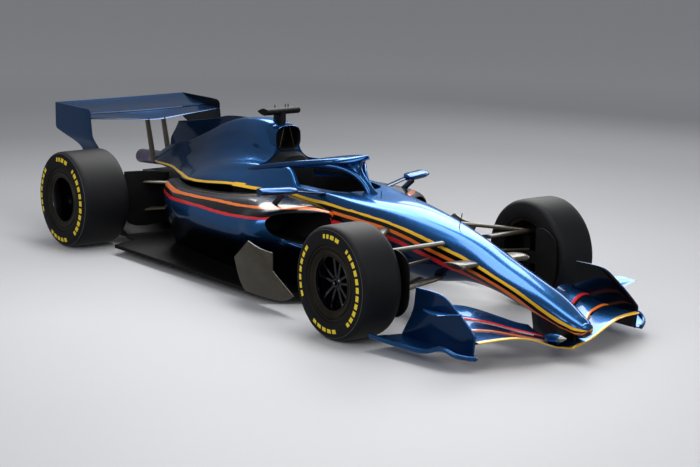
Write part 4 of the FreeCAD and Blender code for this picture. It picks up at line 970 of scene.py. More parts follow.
# sidepods: each station is an outline from the inner top over the shoulder to the inner foot
pod = {
    "stations": [
        (-.84, [(.275, .600), (.320, .604), (.345, .597), (.357, .575), (.360, .520), (.362, .450),
                (.385, .415), (.460, .408), (.520, .400), (.538, .386), (.450, .362), (.275, .330)]),
        (-.96, [(.275, .625), (.380, .632), (.455, .620), (.500, .595), (.530, .555), (.545, .505),
                (.556, .460), (.585, .430), (.603, .408), (.590, .382), (.480, .340), (.275, .250)]),
        (-1.10, [(.275, .640), (.450, .642), (.570, .626), (.655, .594), (.705, .550), (.718, .500),
                 (.708, .450), (.660, .405), (.580, .350), (.510, .270), (.450, .160), (.420, .060)]),
        (-1.35, [(.275, .645), (.420, .652), (.540, .642), (.630, .603), (.690, .553), (.720, .495),
                 (.715, .430), (.660, .355), (.580, .275), (.510, .180), (.470, .110), (.455, .060)]),
        (-1.7, [(.275, .615), (.420, .617), (.550, .612), (.640, .580), (.690, .528), (.712, .470),
                (.702, .405), (.650, .330), (.575, .255), (.510, .170), (.475, .110), (.460, .060)]),
        (-2.1, [(.200, .575), (.400, .577), (.520, .580), (.600, .555), (.645, .505), (.665, .445),
                (.652, .380), (.605, .310), (.540, .235), (.480, .160), (.450, .110), (.440, .060)]),
        (-2.45, [(.180, .555), (.330, .556), (.440, .562), (.515, .545), (.555, .497), (.575, .435),
                 (.562, .370), (.520, .300), (.465, .225), (.420, .155), (.395, .110), (.385, .060)]),
        (-2.75, [(.180, .550), (.260, .553), (.345, .562), (.405, .550), (.435, .500), (.442, .435),
                 (.434, .370), (.412, .300), (.385, .225), (.360, .155), (.345, .110), (.335, .060)]),
    ],
    "inlet": [
        (-.70, [(.30, .588), (.45, .592), (.62, .585), (.78, .565), (.80, .500), (.70, .430), (.55, .395),
                (.40, .385), (.30, .390)]),
        (-1.08, [(.37, .590), (.45, .597), (.56, .592), (.640, .572), (.680, .540), (.670, .490), (.61, .440),
                 (.50, .410), (.37, .405)]),
        (-1.30, [(.38, .580), (.45, .585), (.52, .582), (.590, .565), (.620, .535), (.610, .500), (.56, .455),
                 (.48, .430), (.38, .425)]),
    ],
    "stripes": [
        (-0.840, -1.0, -1.0, 0.90, 1.60, 3.20, 3.45),
        (-0.945, -1.0, -1.0, 1.30, 2.00, 3.45, 3.70),
        (-1.015, -1.0, -1.0, 1.65, 2.30, 3.62, 3.88),
        (-1.090, -1.0, -1.0, 1.98, 2.42, 3.70, 3.94),
        (-1.150, -1.0, -1.0, 2.28, 2.60, 3.72, 3.97),
        (-1.260, -1.0, -1.0, 2.80, 3.02, 4.05, 4.28),
        (-1.370, -1.0, -1.0, 3.07, 3.28, 4.22, 4.46),
        (-1.460, -1.0, -1.0, 3.10, 3.32, 4.24, 4.48),
        (-1.670, -1.0, -1.0, 2.88, 3.10, 4.02, 4.26),
        (-1.900, -1.0, -1.0, 2.85, 3.08, 3.80, 4.06),
        (-2.150, -1.0, -1.0, 2.88, 3.20, 3.82, 4.12),
        (-2.310, -1.0, -1.0, 3.02, 3.38, 3.95, 4.28),
        (-2.450, -1.0, -1.0, 3.08, 3.60, 4.08, 4.40),
        (-2.750, -1.0, -1.0, 3.08, 3.66, 4.10, 4.45),
    ],
    "along": 8,
    "around": 10,
}


def podDarkness(x, z, level):
    # black over the shoulder, blue under the stripes, black again towards the floor
    if level < 0.45:
        return 0.80
    return float(np.clip((0.50 - z) / 0.20, 0.12, 1.0))


podParams = [-x for x, _ in pod["stations"]]
podGrid = skinGrid(atStations(pod["stations"]), pod["along"], pod["around"], (0, 11), params=podParams)
podBands = stripeBands(podGrid, pod["around"], pod["stripes"], podDarkness, mirrored=False)
podLeft = dress(gridPiece("sidepodLeft", podGrid, bands=podBands), paint)
inletBlock = dress(gridPiece("inletBlock", skinGrid(atStations(pod["inlet"]), 5, 4)), dullCarbon)
carve(podLeft, inletBlock)
settleBoth(soften(podLeft, 40), "chassis", "blue_paint", "sidepod_")
print("stage: sidepods made")


def wingLoop(leading, trailing, thickness, camber, points=9):
    # a wing section between two edges, arched downwards as on a racing car
    blunt = 0.10   # share of the thickness that is left at the rear edge
    leading, trailing = Vector(leading), Vector(trailing)
    chord = trailing - leading
    rise = Vector((0, 1, 0)).cross(chord).normalized() * chord.length
    if rise.z < 0:
        rise = -rise
    upper, lower = [], []
    for index in range(points):
        share = (1 - math.cos(math.pi * index / (points - 1))) / 2
        swell = 2.6 * math.sqrt(max(share, 0)) * (1 - share) + blunt * share
        arch = -4 * camber * share * (1 - share)
        middle = leading + chord * share
        upper.append(middle + rise * (arch + thickness * swell / 2))
        lower.append(middle + rise * (arch - thickness * swell / 2))
    return [tuple(p) for p in upper + list(reversed(lower[1:]))]


def wingPiece(name, rows, thickness, camber, along=4, points=9):
    # rows give the place across, then the leading and trailing edges forward and up
    rings = [wingLoop((lx + frontAxleX, y, lz), (tx + frontAxleX, y, tz), thickness, camber, points)
             for y, lx, lz, tx, tz in rows]
    grid = skinGrid(rings, along, 1, params=[row[0] for row in rows])
    columns = grid.shape[1]
    shares = [(1 - math.cos(math.pi * min(column, columns - column) / (points - 1))) / 2
              for column in range(columns)]
    return gridPiece(name, grid, bands=[[(share, 0.5) for share in shares] for _ in grid])


def chordBands(piece, rule):
    # wingPiece left each point's share of the chord in the layer, and the rule turns it into bands
    layer = piece.data.uv_layers["bands"]
    for face in piece.data.polygons:
        whole = rule(sum(layer.data[index].uv[0] for index in face.loop_indices) / face.loop_total)
        for index in face.loop_indices:
            layer.data[index].uv = whole
    return piece


# front wing: a main plane across the car and two flaps on each side
frontWing = {
    # place across, leading edge forward and up, trailing edge forward and up
    "main": [(0, 1.156, .062, .98, .088), (.06, 1.154, .074, 1.0, .094), (.12, 1.152, .088, 1.057, .098),
             (.2, 1.152, .118, 1.018, .120), (.3, 1.143, .157, .968, .145), (.4, 1.119, .176, .905, .166),
             (.5, 1.085, .174, .865, .175), (.6, 1.065, .170, .825, .172), (.65, 1.055, .168, .807, .163)],
    "flaps": [
        [(.1, 1.055, .102, 1.012, .113), (.15, 1.03, .114, .958, .125), (.2, 1.005, .127, .898, .137),
         (.3, .954, .149, .813, .170), (.4, .89, .171, .755, .195), (.5, .85, .180, .703, .213),
         (.6, .81, .176, .658, .207), (.65, .792, .167, .635, .195)],
        [(.1, 1.0, .120, .87, .165), (.15, .945, .133, .80, .176), (.2, .885, .145, .735, .198),
         (.3, .80, .178, .637, .240), (.4, .742, .203, .579, .267), (.5, .69, .221, .52, .266),
         (.6, .645, .215, .465, .245), (.65, .622, .202, .438, .230)],
    ],
    # up, place across, front edge forward, rear edge forward
    "plate": [
        (.066, .652, 1.014, .350), (.110, .652, 1.018, .378), (.160, .652, 1.024, .410),
        (.204, .652, 1.029, .440), (.212, .652, 1.022, .444), (.250, .652, .972, .462),
        (.292, .652, .910, .474), (.336, .652, .836, .480), (.368, .652, .780, .484),
        (.384, .652, .738, .486), (.391, .652, .690, .487)],
    # forward, inner edge across and up, outer edge across and up
    "foot": [
        (1.055, .655, .070, .679, .074), (.986, .655, .070, .770, .092), (.900, .655, .070, .803, .120),
        (.755, .655, .070, .825, .078), (.550, .655, .070, .860, .080), (.342, .655, .070, .899, .096)],
    "plateThickness": 0.012,
    "footThickness": 0.0085,
    "footDroop": 1.6,   # the foot falls away more and more towards its outer edge
    "rollSize": (.024, .030),
    "beadSize": .013,
    # place across, leading edge forward and up, trailing edge forward and up, thickness
    "dive": [(.655, .911, .309, .550, .279, .035), (.76, .885, .316, .68, .312, .04),
             (.807, .870, .318, .742, .322, .05)],
    "diveCamber": 0.03,
    # section of the planes: thickness and camber as shares of the chord
    "mainSection": (0.085, 0.035),
    "flapSection": (0.080, 0.06),
    # share of the chord where the front stripe ends, its level, the level behind it, darkness and its rise;
    # the rise darkens the blue towards the rear edge as painted shade
    "mainBands": (0.17, 0.15, 0.0, 0.22, 0.35),
    "flapBands": [(0.18, 0.95, 0.65, 0.30, 0.30), (0.18, 0.55, 0.65, 0.22, 0.15)],
    # the outer side begins at these places across; darkness of the outer and the inner side; the bead's
    # lighter outer side is a painted highlight
    "plateSide": 0.6565,
    "beadSide": 0.6575,
    "plateDarkness": (0.50, 0.99),
    "beadHighlightDarkness": (0.30, 0.97),
    "footDarkness": 0.25,
    "diveDarkness": 0.05,
}


def chordStripesAndShade(edge, edgeLevel, level, darkness, rise):
    # stripes that run along the span: one level up to the edge, another behind it, and a blue that darkens
    # towards the rear edge as painted shade
    return lambda share: (edgeLevel if share < edge else level, darkness + rise * share)


mainRows = [(-y, *edges) for y, *edges in reversed(frontWing["main"][1:])] + frontWing["main"]
frontMain = dress(wingPiece("frontWingMainPlane", mainRows, *frontWing["mainSection"], 8, 13), paint)
chordBands(frontMain, chordStripesAndShade(*frontWing["mainBands"]))
settle(soften(frontMain, 50), "chassis", "blue_paint", "front_wing_main_plane")
flapPieces = []
for rows, flapBands in zip(frontWing["flaps"], frontWing["flapBands"]):
    flap = dress(wingPiece("frontFlap", rows, *frontWing["flapSection"], 8, 13), paint)
    flapPieces.append(soften(chordBands(flap, chordStripesAndShade(*flapBands)), 50))
settleBoth(joined("frontWingFlapsLeft", flapPieces), "chassis", "blue_paint", "front_wing_flaps_")


def uprightLoop(x0, x1, y, z, thickness, points=8):
    # a thin vertical blade section, round at the front and fine at the back
    outer, inner = [], []
    for index in range(points):
        share = (1 - math.cos(math.pi * index / (points - 1))) / 2
        swell = min(1.0, 3.2 * math.sqrt(share)) * (1.0 - 0.45 * share) if share < 1 else 0.5
        x = x0 + (x1 - x0) * share + frontAxleX
        outer.append((x, y + thickness * (0.5 + swell / 2), z))
        inner.append((x, y + thickness * (0.5 - swell / 2), z))
    return outer + list(reversed(inner[1:]))


def tube(name, line, width, height, around, up=(0, 0, 1)):
    # a bar of one size all along its line
    return sweep(name, line, [width] * len(line), [height] * len(line), around, up)


# the plate stands on a foot with a rolled edge; a bead of lighter blue runs up its front edge and back along
# its top as a painted highlight on the rounded rim
plateRows = [uprightLoop(front, rear, y, z, frontWing["plateThickness"])
             for z, y, front, rear in frontWing["plate"]]
plateLeft = dress(gridPiece("frontEndplate", skinGrid(plateRows, 4, 1)), paint)
paintBands(plateLeft, lambda x, y, z: (0.0, frontWing["plateDarkness"][int(y <= frontWing["plateSide"])]))
# share across, share up
footSection = [(0, 0), (.35, 0), (.7, 0), (1, .2), (1, .8), (.7, 1), (.35, 1), (0, 1)]
footRows = []
for x, innerY, innerZ, outerY, outerZ in frontWing["foot"]:
    row = []
    for share, up in footSection:
        lift = (outerZ - innerZ) * share ** frontWing["footDroop"]
        row.append(at(x, innerY + (outerY - innerY) * share, innerZ + lift + up * frontWing["footThickness"]))
    footRows.append(row)
footLeft = dress(gridPiece("frontFootplate", skinGrid(footRows, 4, 1)), paint)
rollPoints = [at(x, outerY - .010, outerZ + .005) for x, _, _, outerY, outerZ in frontWing["foot"]]
rollLine = throughPoints(rollPoints, 6)
rollLeft = dress(tube("frontFootRoll", rollLine, *frontWing["rollSize"], 14), paint)
for part in (footLeft, rollLeft):
    plainBlue(part, frontWing["footDarkness"])
plateMiddle = frontWing["plateThickness"] / 2
topUp, topAcross, _, topRear = frontWing["plate"][-1]
edgePoints = [at(front - .001, y + plateMiddle, z) for z, y, front, _ in frontWing["plate"]]
edgeLine = throughPoints(edgePoints + [at(topRear, topAcross + plateMiddle, topUp - .002)], 4)
beadSize = frontWing["beadSize"]
# the bead's lighter blue on the outer side stands in for the highlight along the plate's edge: a painted
# highlight
highlightBeadLeft = dress(tube("frontPlateHighlightBead", edgeLine, beadSize, beadSize, 10, (0, 1, 0)), paint)
paintBands(highlightBeadLeft, lambda x, y, z: (0.0, frontWing["beadHighlightDarkness"][int(y <= frontWing["beadSide"])]))
diveRows = [wingLoop(at(leadX, y, leadZ), at(trailX, y, trailZ), thickness, frontWing["diveCamber"])
            for y, leadX, leadZ, trailX, trailZ, thickness in frontWing["dive"]]
diveLeft = dress(gridPiece("frontDivePlane", skinGrid(diveRows, 4, 1)), paint)
plainBlue(diveLeft, frontWing["diveDarkness"])
endplateParts = [soften(part, 50) for part in (plateLeft, footLeft, diveLeft, rollLeft, highlightBeadLeft)]
settleBoth(joined("frontEndplateLeft", endplateParts), "chassis", "blue_paint", "front_wing_endplate_")
print("stage: front wing made")

# rear wing: a spooned main plane, one flap and endplates that narrow downwards
rearWing = {
    # place across, leading edge forward and up, trailing edge forward and up
    "main": [(-.5795, -3.5588, .930, -3.770, .936), (-.285, -3.5588, .905, -3.770, .931),
             (0, -3.5588, .880, -3.770, .928), (.285, -3.5588, .905, -3.770, .931),
             (.5795, -3.5588, .930, -3.770, .936)],
    "flap": [(-.5795, -3.7675, .940, -4.1313, .995), (0, -3.7675, .936, -4.1313, .993),
             (.5795, -3.7675, .940, -4.1313, .995)],
    # up, place across, front edge forward, rear edge forward
    "plate": [
        (.450, .514, -3.540, -3.709), (.560, .519, -3.530, -3.755), (.670, .526, -3.525, -3.812),
        (.715, .545, -3.525, -3.880), (.750, .5675, -3.525, -3.973), (.775, .576, -3.535, -4.060),
        (.800, .5795, -3.547, -4.128), (.850, .5795, -3.556, -4.133), (.930, .5795, -3.570, -4.134),
        (.975, .5795, -3.576, -4.134), (.990, .5795, -3.600, -4.134), (.9965, .5795, -3.640, -4.130)],
    "plateThickness": 0.012,
    # section of the planes: thickness and camber as shares of the chord
    "mainSection": (0.075, 0.05),
    "flapSection": (0.05, 0.045),
    "planeDarkness": 0.62,
    "outerDarkness": 0.48,
    "innerDarkness": 0.97,
}
for part, title, node in (("main", "rearWingMainPlane", "rear_wing_main_plane"),
                          ("flap", "rearWingFlap", "rear_wing_flap")):
    plane = dress(wingPiece(title, rearWing[part], *rearWing[part + "Section"]), paint)
    plainBlue(plane, rearWing["planeDarkness"])
    settle(soften(plane, 50), "chassis", "blue_paint", node)
rearRows = [uprightLoop(front, rear, y, z, rearWing["plateThickness"])
            for z, y, front, rear in rearWing["plate"]]
rearPlate = dress(gridPiece("rearEndplateLeft", skinGrid(rearRows, 3, 1)), paint)
plainBlue(rearPlate, rearWing["outerDarkness"])
plainBlue(rearPlate, rearWing["innerDarkness"], lambda face: face.normal.y < -0.5)
settleBoth(soften(rearPlate, 50), "chassis", "blue_paint", "rear_wing_endplate_")
print("stage: rear wing made")


# suspension legs: forward, across and up of each end on the left side
legs = {
    "frontEyes": [(0, .700, .507), (0, .700, .207)],
    "frontUpper": [(.150, .1805, .550), (-.374, .223, .560)],
    "frontLower": [(.102, .152, .320), (-.374, .223, .330)],
    "trackRod": [(.051, .1425, .440), (.084, .604, .407)],
    "rearUpper": [(-2.992, .1235, .470), (-3.4956, .1235, .470)],
    "rearLower": [(-2.992, .1235, .290), (-3.4956, .1235, .290)],
    "rearJoint": (-3.4, .548, .360),
    "jointForward": 0.040,   # the two legs of a rear wishbone end this far ahead of and behind the joint
    "jointRise": 0.120,      # and the wishbones this far above and below it
    "chord": 0.084,
    "eyeChord": 0.050,
    "rearChord": 0.105,      # the upper front leg also covers the brake pipes
    "thickness": 0.026,
    "rodSize": (0.030, 0.016),
    "eyeSize": (0.022, 0.020),
    "eyeBore": 0.0095,
    "eyeRim": 0.003,
}


def legEye(name, centre, radius, height):
    # the round end of a wishbone, with a rolled rim
    bore, rim = legs["eyeBore"], legs["eyeRim"]
    profile = [(bore, -height / 2), (radius - rim, -height / 2), (radius, -height / 2 + rim),
               (radius, height / 2 - rim), (radius - rim, height / 2), (bore, height / 2)]
    turns = [2 * math.pi * step / 24 for step in range(25)]
    grid = [[(centre[0] + r * math.cos(turn), centre[1] + r * math.sin(turn), centre[2] + h)
             for r, h in profile] for turn in turns]
    return dress(soften(gridPiece(name, grid, caps=False), 40), machined)


frontParts = []
for key, eye in zip(("frontUpper", "frontLower"), legs["frontEyes"]):
    for root in legs[key]:
        leg = strutPiece("leg", at(*root), at(*eye), legs["chord"], legs["thickness"], oliveCarbon,
                         legs["eyeChord"])
        frontParts.append(leg)
    frontParts.append(legEye("eye", at(*eye), *legs["eyeSize"]))
rodInner, rodOuter = legs["trackRod"]
frontParts.append(strutPiece("rod", at(*rodInner), at(*rodOuter), *legs["rodSize"], oliveCarbon))
settleBoth(joined("frontSuspensionLeft", frontParts), "chassis", "satin_carbon", "front_suspension_")
rearParts = []
jointX, jointY, jointZ = legs["rearJoint"]
for key, upward in (("rearUpper", 1), ("rearLower", -1)):
    for root, forward in zip(legs[key], (1, -1)):
        joint = at(jointX + forward * legs["jointForward"], jointY, jointZ + upward * legs["jointRise"])
        chord = legs["rearChord"] if (forward == 1 and upward == 1) else legs["chord"]
        rearParts.append(strutPiece("leg", at(*root), joint, chord, legs["thickness"], oliveCarbon))
settleBoth(joined("rearSuspensionLeft", rearParts), "chassis", "satin_carbon", "rear_suspension_")
print("stage: suspension made")

# wheels: a slick tyre and a forged rim with paired spokes, made on the left side and mirrored
wheels = {
    "front": {"x": frontAxleX, "radius": 0.357, "width": 0.310, "disc": 0.055},
    "rear": {"x": rearAxleX, "radius": 0.360, "width": 0.400, "disc": 0.190},
    "rim": 0.236,
    "opening": 0.163,
    "inset": 0.012,
    "pairs": 5,
    "spreadDeg": 13.5,       # half the angle between the two spokes of a pair at the rim
    "rootSpreadDeg": 17,     # and at the hub
    "rootRadius": .042,
    # a spoke's width at hub and rim, then its depth at hub and rim
    "spoke": (.021, .022, .030, .022),
    # share of the tyre's height, then how far the wall lies in from its widest place
    "wall": [(.18, .0005), (.40, 0.0), (.62, .003), (.78, .0075), (.80, .0083), (.88, .015), (.94, .024),
             (.985, .040)],
    # radius, then distance out from the spokes' face
    "hub": [(.0245, .004), (.030, .006), (.034, .002), (.044, -.001), (.046, -.006), (.046, -.085),
            (.0245, -.085)],
    "nut": [(.0005, .0205), (.009, .0208), (.0115, .0258), (.0145, .0250), (.0165, .012), (.022, .0115),
            (.0285, .010), (.0298, .004), (.0298, -.0005), (.0005, -.0005)],
    "cap": [(.0005, .0215), (.0060, .0222), (.0085, .0215), (.0085, .0200), (.0005, .0200)],
    "halfWidth": 0.950,
    "facets": 96,
}


def tyreProfile(radius, width):
    outer, inner = wheels["halfWidth"], wheels["halfWidth"] - width
    bead = wheels["rim"] + 0.0006
    tall = radius - bead
    wall = [(bead, 0.014), (bead + 0.004, 0.006), (bead + 0.012, 0.004)]
    wall += [(bead + tall * share, inset) for share, inset in wheels["wall"]]
    wall.append((radius - .0006, 0.062))
    crown = [(radius, width * .32), (radius, width * .5), (radius, width * .68)]
    left = [(r, inner + inset) for r, inset in wall]
    right = [(r, outer - inset) for r, inset in reversed(wall)]
    return left + [(r, inner + y) for r, y in crown] + right


def spokeGrid(root, tip, wideRoot, wideTip, deepRoot, deepTip, faceY):
    # one arm: a rounded bar that flares where it meets the rim
    root, tip = Vector(root), Vector(tip)
    run = (tip - root).normalized()
    side = run.cross(Vector((0, 1, 0))).normalized()
    rows = []
    for share in (0, .12, .3, .5, .7, .86, .95, 1):
        wide = wideRoot + (wideTip - wideRoot) * share + 0.008 * max(0, share - .8) / .2
        deep = deepRoot + (deepTip - deepRoot) * share
        centre = root.lerp(tip, share)
        ring = []
        for a, b in ((-.5, -1), (-.5, -.18), (-.36, -.02), (0, 0), (.36, -.02), (.5, -.18), (.5, -1)):
            point = centre + side * (wide * a)
            ring.append((point.x, faceY + deep * b, point.z))
        rows.append(ring)
    return rows


def makeWheel(end):
    spec = wheels[end]
    centre = (spec["x"], 0, spec["radius"])
    outer, inner = wheels["halfWidth"], wheels["halfWidth"] - spec["width"]
    tyre = lathe(end + "TyreLeft", tyreProfile(spec["radius"], spec["width"]), centre, wheels["facets"])
    dress(soften(tyre, 60), rubber)
    rim, opening = wheels["rim"], wheels["opening"]
    face = outer - wheels["inset"]
    back = inner + wheels["inset"]
    disc = face - spec["disc"]
    # from the lip over two turned rings to the opening, then down the barrel and back to the inner lip
    ringProfile = [(rim, face - .001), (rim - .004, face), (rim - .015, face - .0005),
                   (rim - .018, face - .007), (rim - .025, face - .008), (rim - .028, face - .003),
                   (rim - .044, face - .004), (rim - .052, face - .009), (opening + .012, face - .011),
                   (opening + .009, face - .008), (opening + .003, face - .0085), (opening, face - .0130)]
    barrelProfile = ringProfile + [(opening, disc + .001), (opening + .004, disc), (rim - .022, disc - .018),
                                   (rim - .021, back + .010), (rim - .012, back), (rim - .001, back)]
    barrel = dress(soften(lathe("barrel", barrelProfile, centre, wheels["facets"]), 35),
                   [oliveAnodised, darkChrome])
    for patch in barrel.data.polygons:
        if math.hypot(patch.center.x - centre[0], patch.center.z - centre[2]) < opening + .003:
            patch.material_index = 1   # the wall of the opening
    parts = [barrel]
    if end == "front":
        for pair in range(wheels["pairs"]):
            turn = 2 * math.pi * pair / wheels["pairs"]
            for lean in (-1, 1):
                root, tip = [(centre[0] + math.sin(turn + lean * math.radians(spread)) * reach, 0,
                              centre[2] + math.cos(turn + lean * math.radians(spread)) * reach)
                             for spread, reach in ((wheels["rootSpreadDeg"], wheels["rootRadius"]),
                                                   (wheels["spreadDeg"], opening + .004))]
                arm = gridPiece("arm", spokeGrid(root, tip, *wheels["spoke"], disc))
                parts.append(dress(soften(arm, 40), darkChrome))
    else:
        # the rear wheel's spokes hide behind a closed disc
        plate = [(.036, disc - .001), (.060, disc - .001), (.075, disc - .005), (.110, disc - .006),
                 (opening - .012, disc - .003), (opening + .004, disc - .001), (opening + .004, disc - .018),
                 (.036, disc - .018)]
        parts.append(dress(soften(lathe("plate", plate, centre, wheels["facets"]), 35), darkChrome))
    for key, facets, finish in (("hub", 48, darkChrome), ("nut", 36, darkChrome), ("cap", 24, machined)):
        profile = [(radius, disc + out) for radius, out in wheels[key]]
        parts.append(dress(soften(lathe(key, profile, centre, facets), 35), finish))
    settleBoth(tyre, end + "_wheel_", "tyre_rubber", end + "_tyre_")
    settleBoth(joined(end + "RimLeft", parts), end + "_wheel_", "rim_metal", end + "_rim_")


makeWheel("front")
makeWheel("rear")
print("stage: wheels made")

# halo: a tube round the cockpit on one slim pillar, with a lower arm and a fairing over it
halo = {
    # forward, across and up along the left half, from the front to the rear foot
    "line": [(-.975, 0, .903), (-.990, .048, .902), (-1.04, .105, .896), (-1.13, .166, .882),
             (-1.26, .215, .862), (-1.42, .252, .834), (-1.60, .275, .799), (-1.77, .283, .764),
             (-1.90, .272, .730)],
    "tube": 0.0455,
    "arm": [(-1.40, .246, .832), (-1.26, .208, .850), (-1.14, .160, .860), (-1.045, .105, .854),
            (-.970, .056, .828), (-.905, .024, .786), (-.850, .010, .735), (-.820, .006, .690)],
    "armWidths": [.030, .042, .046, .046, .044, .042, .044, .046],
    # forward, half width, lower and upper height
    "fairing": [(-1.30, .222, .862, .874), (-1.20, .200, .872, .893), (-1.10, .170, .884, .911),
                (-1.02, .134, .892, .926), (-.96, .096, .900, .937), (-.915, .062, .908, .944),
                (-.885, .036, .918, .949), (-.866, .018, .932, .951), (-.860, .006, .941, .948)],
    "fairingRound": 0.8,
    # height, front edge, rear edge, width
    "pillar": [(.640, -.660, -.872, .026), (.696, -.727, -.884, .027), (.731, -.776, -.898, .029),
               (.770, -.833, -.932, .036), (.800, -.876, -.972, .050), (.830, -.919, -1.020, .080),
               (.860, -.944, -1.060, .120), (.890, -.946, -1.075, .150), (.915, -.925, -1.070, .140)],
    "pillarNarrow": 0.35,   # how much slimmer the pillar's front is than its back
    # the blue darkens rearwards: first darkness, rise with each metre, metres behind the axle, limits
    "shade": (0.25, 0.3, 0.9, (0.2, 0.45)),
}
leftLine = [at(*p) for p in halo["line"]]
haloLine = throughPoints([(x, -y, z) for x, y, z in reversed(leftLine[1:])] + leftLine, 6)
hoop = tube("hoop", haloLine, halo["tube"], halo["tube"], 20)
pillarRows = []
for z, front, rear, width in halo["pillar"]:
    ring = []
    for turn in [2 * math.pi * step / 24 for step in range(24)]:
        reach = math.cos(turn)
        narrow = 1.0 if reach < 0 else 1 - halo["pillarNarrow"] * reach ** 2
        forward = (front + rear) / 2 + reach * (front - rear) / 2
        ring.append(at(forward, math.sin(turn) * width / 2 * narrow, z))
    pillarRows.append(ring)
pillar = gridPiece("pillar", skinGrid(pillarRows, 5, 1))
haloParts = [hoop, pillar]
armLine = throughPoints([at(*p) for p in halo["arm"]], 5)
armWidths = throughPoints([(width,) for width in halo["armWidths"]], 5)[:, 0]
for side in sides.values():
    haloParts.append(sweep("arm", [(x, y * side, z) for x, y, z in armLine], armWidths, armWidths, 16))
fairingTurns = [math.pi * step / 12 for step in range(13)]
fairingRows = [[at(x, reach * math.cos(turn), low + (high - low) * math.sin(turn) ** halo["fairingRound"])
                for turn in fairingTurns] for x, reach, low, high in halo["fairing"]]
haloParts.append(gridPiece("fairing", skinGrid(fairingRows, 4, 1)))
haloPiece = joined("halo", [dress(soften(part, 50), paint) for part in haloParts])


def haloRule(x, y, z):
    start, rise, place, limits = halo["shade"]
    return (0.0, float(np.clip(start + (frontAxleX - x - place) * rise, *limits)))


paintBands(haloPiece, haloRule)
settle(haloPiece, "chassis", "blue_paint", "halo")

# cockpit shoulders: painted fairings that rise from the tub to the halo's feet
shoulders = {
    "stations": [
        (-1.265, [(.262, .712), (.290, .712), (.300, .708), (.308, .700), (.314, .690), (.314, .660),
                  (.262, .660)]),
        (-1.345, [(.262, .812), (.292, .808), (.304, .760), (.318, .715), (.332, .675), (.332, .640),
                  (.262, .640)]),
        (-1.47, [(.262, .812), (.298, .800), (.322, .750), (.348, .700), (.375, .655), (.370, .612),
                 (.262, .612)]),
        (-1.60, [(.262, .800), (.300, .786), (.332, .740), (.366, .695), (.402, .650), (.392, .603),
                 (.262, .603)]),
        (-1.76, [(.262, .788), (.288, .772), (.328, .735), (.376, .690), (.424, .648), (.410, .598),
                 (.262, .598)]),
        (-1.85, [(.255, .784), (.280, .768), (.322, .732), (.385, .685), (.430, .645), (.420, .596),
                 (.262, .590)]),
    ],
    "darkness": 0.15,
    # the yellow line runs along the lower outer edge: black below it, blue above it and forward of its start
    "lineLow": .6465,
    "lineHigh": .670,
    "lineInner": .32,
    "lineFrom": -1.46,
}


def shoulderRule(x, y, z):
    behind = x < frontAxleX + shoulders["lineFrom"]
    onLine = behind and z < shoulders["lineHigh"] and y > shoulders["lineInner"]
    return (0.25 if z < shoulders["lineLow"] else (0.15 if onLine else 0.0), shoulders["darkness"])


shoulderParams = [-x for x, _ in shoulders["stations"]]
shoulderGrid = skinGrid(atStations(shoulders["stations"]), 5, 5, (0, 4, 5, 6), params=shoulderParams)
shoulderLeft = dress(gridPiece("shoulderLeft", shoulderGrid), paint)
paintBands(shoulderLeft, shoulderRule, perFace=True)
settleBoth(soften(shoulderLeft, 40), "chassis", "blue_paint", "cockpit_surround")

# padded collar along the rear half of the cockpit opening, cloth over foam
collar = {
    "line": [(-1.345, .268, .722), (-1.42, .264, .724), (-1.56, .258, .725), (-1.66, .232, .726),
             (-1.72, .165, .727), (-1.735, .08, .727), (-1.737, 0, .727)],
    "width": 0.040,
    "height": 0.045,
    "pinch": 0.10,      # how much it narrows at a seam of the cloth
    "seamEvery": 16,    # steps of the line from seam to seam
}
collarLeft = [at(*p) for p in collar["line"]]
collarLine = throughPoints(collarLeft + [(x, -y, z) for x, y, z in reversed(collarLeft[:-1])], 8)
swell = [1.0 - collar["pinch"] * abs(math.sin(step * math.pi / collar["seamEvery"])) ** 8
         for step in range(len(collarLine))]
collarWidths = [collar["width"] * share for share in swell]
collarHeights = [collar["height"] * share for share in swell]
collarPad = sweep("cockpitCollar", collarLine, collarWidths, collarHeights, 20)
dress(soften(collarPad, 60), padCloth)
settle(collarPad, "chassis", "padding", "cockpit_surround")

# headrest: one crowned pad that fills the tub behind the head
headrest = [
    (-1.6935, [(0, .838), (.059, .834), (.103, .802), (.142, .735), (.155, .668), (.08, .667), (0, .667)]),
    (-1.715, [(0, .846), (.072, .842), (.118, .806), (.165, .748), (.180, .667), (.09, .667), (0, .667)]),
    (-1.775, [(0, .855), (.086, .851), (.133, .808), (.195, .768), (.214, .667), (.10, .667), (0, .667)]),
    (-1.848, [(0, .861), (.098, .857), (.150, .811), (.221, .779), (.252, .667), (.12, .667), (0, .667)]),
]
headRows = atStations([(x, mirroredLoop(half)) for x, half in headrest])
headPad = dress(gridPiece("headrest", skinGrid(headRows, 6, 4, params=[0, .02, .08, .16])), padCloth)
settle(soften(headPad, 60), "chassis", "padding", "headrest")

# turning boards ahead of the sidepods
board = {
    # forward and up
    "outline": [(-.7174, .415), (-.8228, .418), (-.8738, .423), (-.9792, .450), (-1.2138, .296),
                (-1.2206, .120), (-1.19, .060), (-.9758, .060), (-.7548, .077), (-.5984, .141),
                (-.7208, .236), (-.7752, .285)],
    "footY": 0.7538,
    "footZ": 0.060,
    "lean": 0.31,       # metres outwards for each metre up
    "thickness": 0.010,
    "corners": (0, 3, 4, 6, 9, 11),
}
boardPoints = [at(x, board["footY"] + board["lean"] * (z - board["footZ"]) - board["thickness"] / 2, z)
               for x, z in board["outline"]]
boardLoop = roundLoop(boardPoints, 5, board["corners"])
boardLeft = slab("wakeBoardLeft", [tuple(p) for p in boardLoop], (0, board["thickness"], 0), 0.003)
settleBoth(dress(soften(boardLeft, 40), oliveCarbon), "chassis", "satin_carbon", "wake_board_")

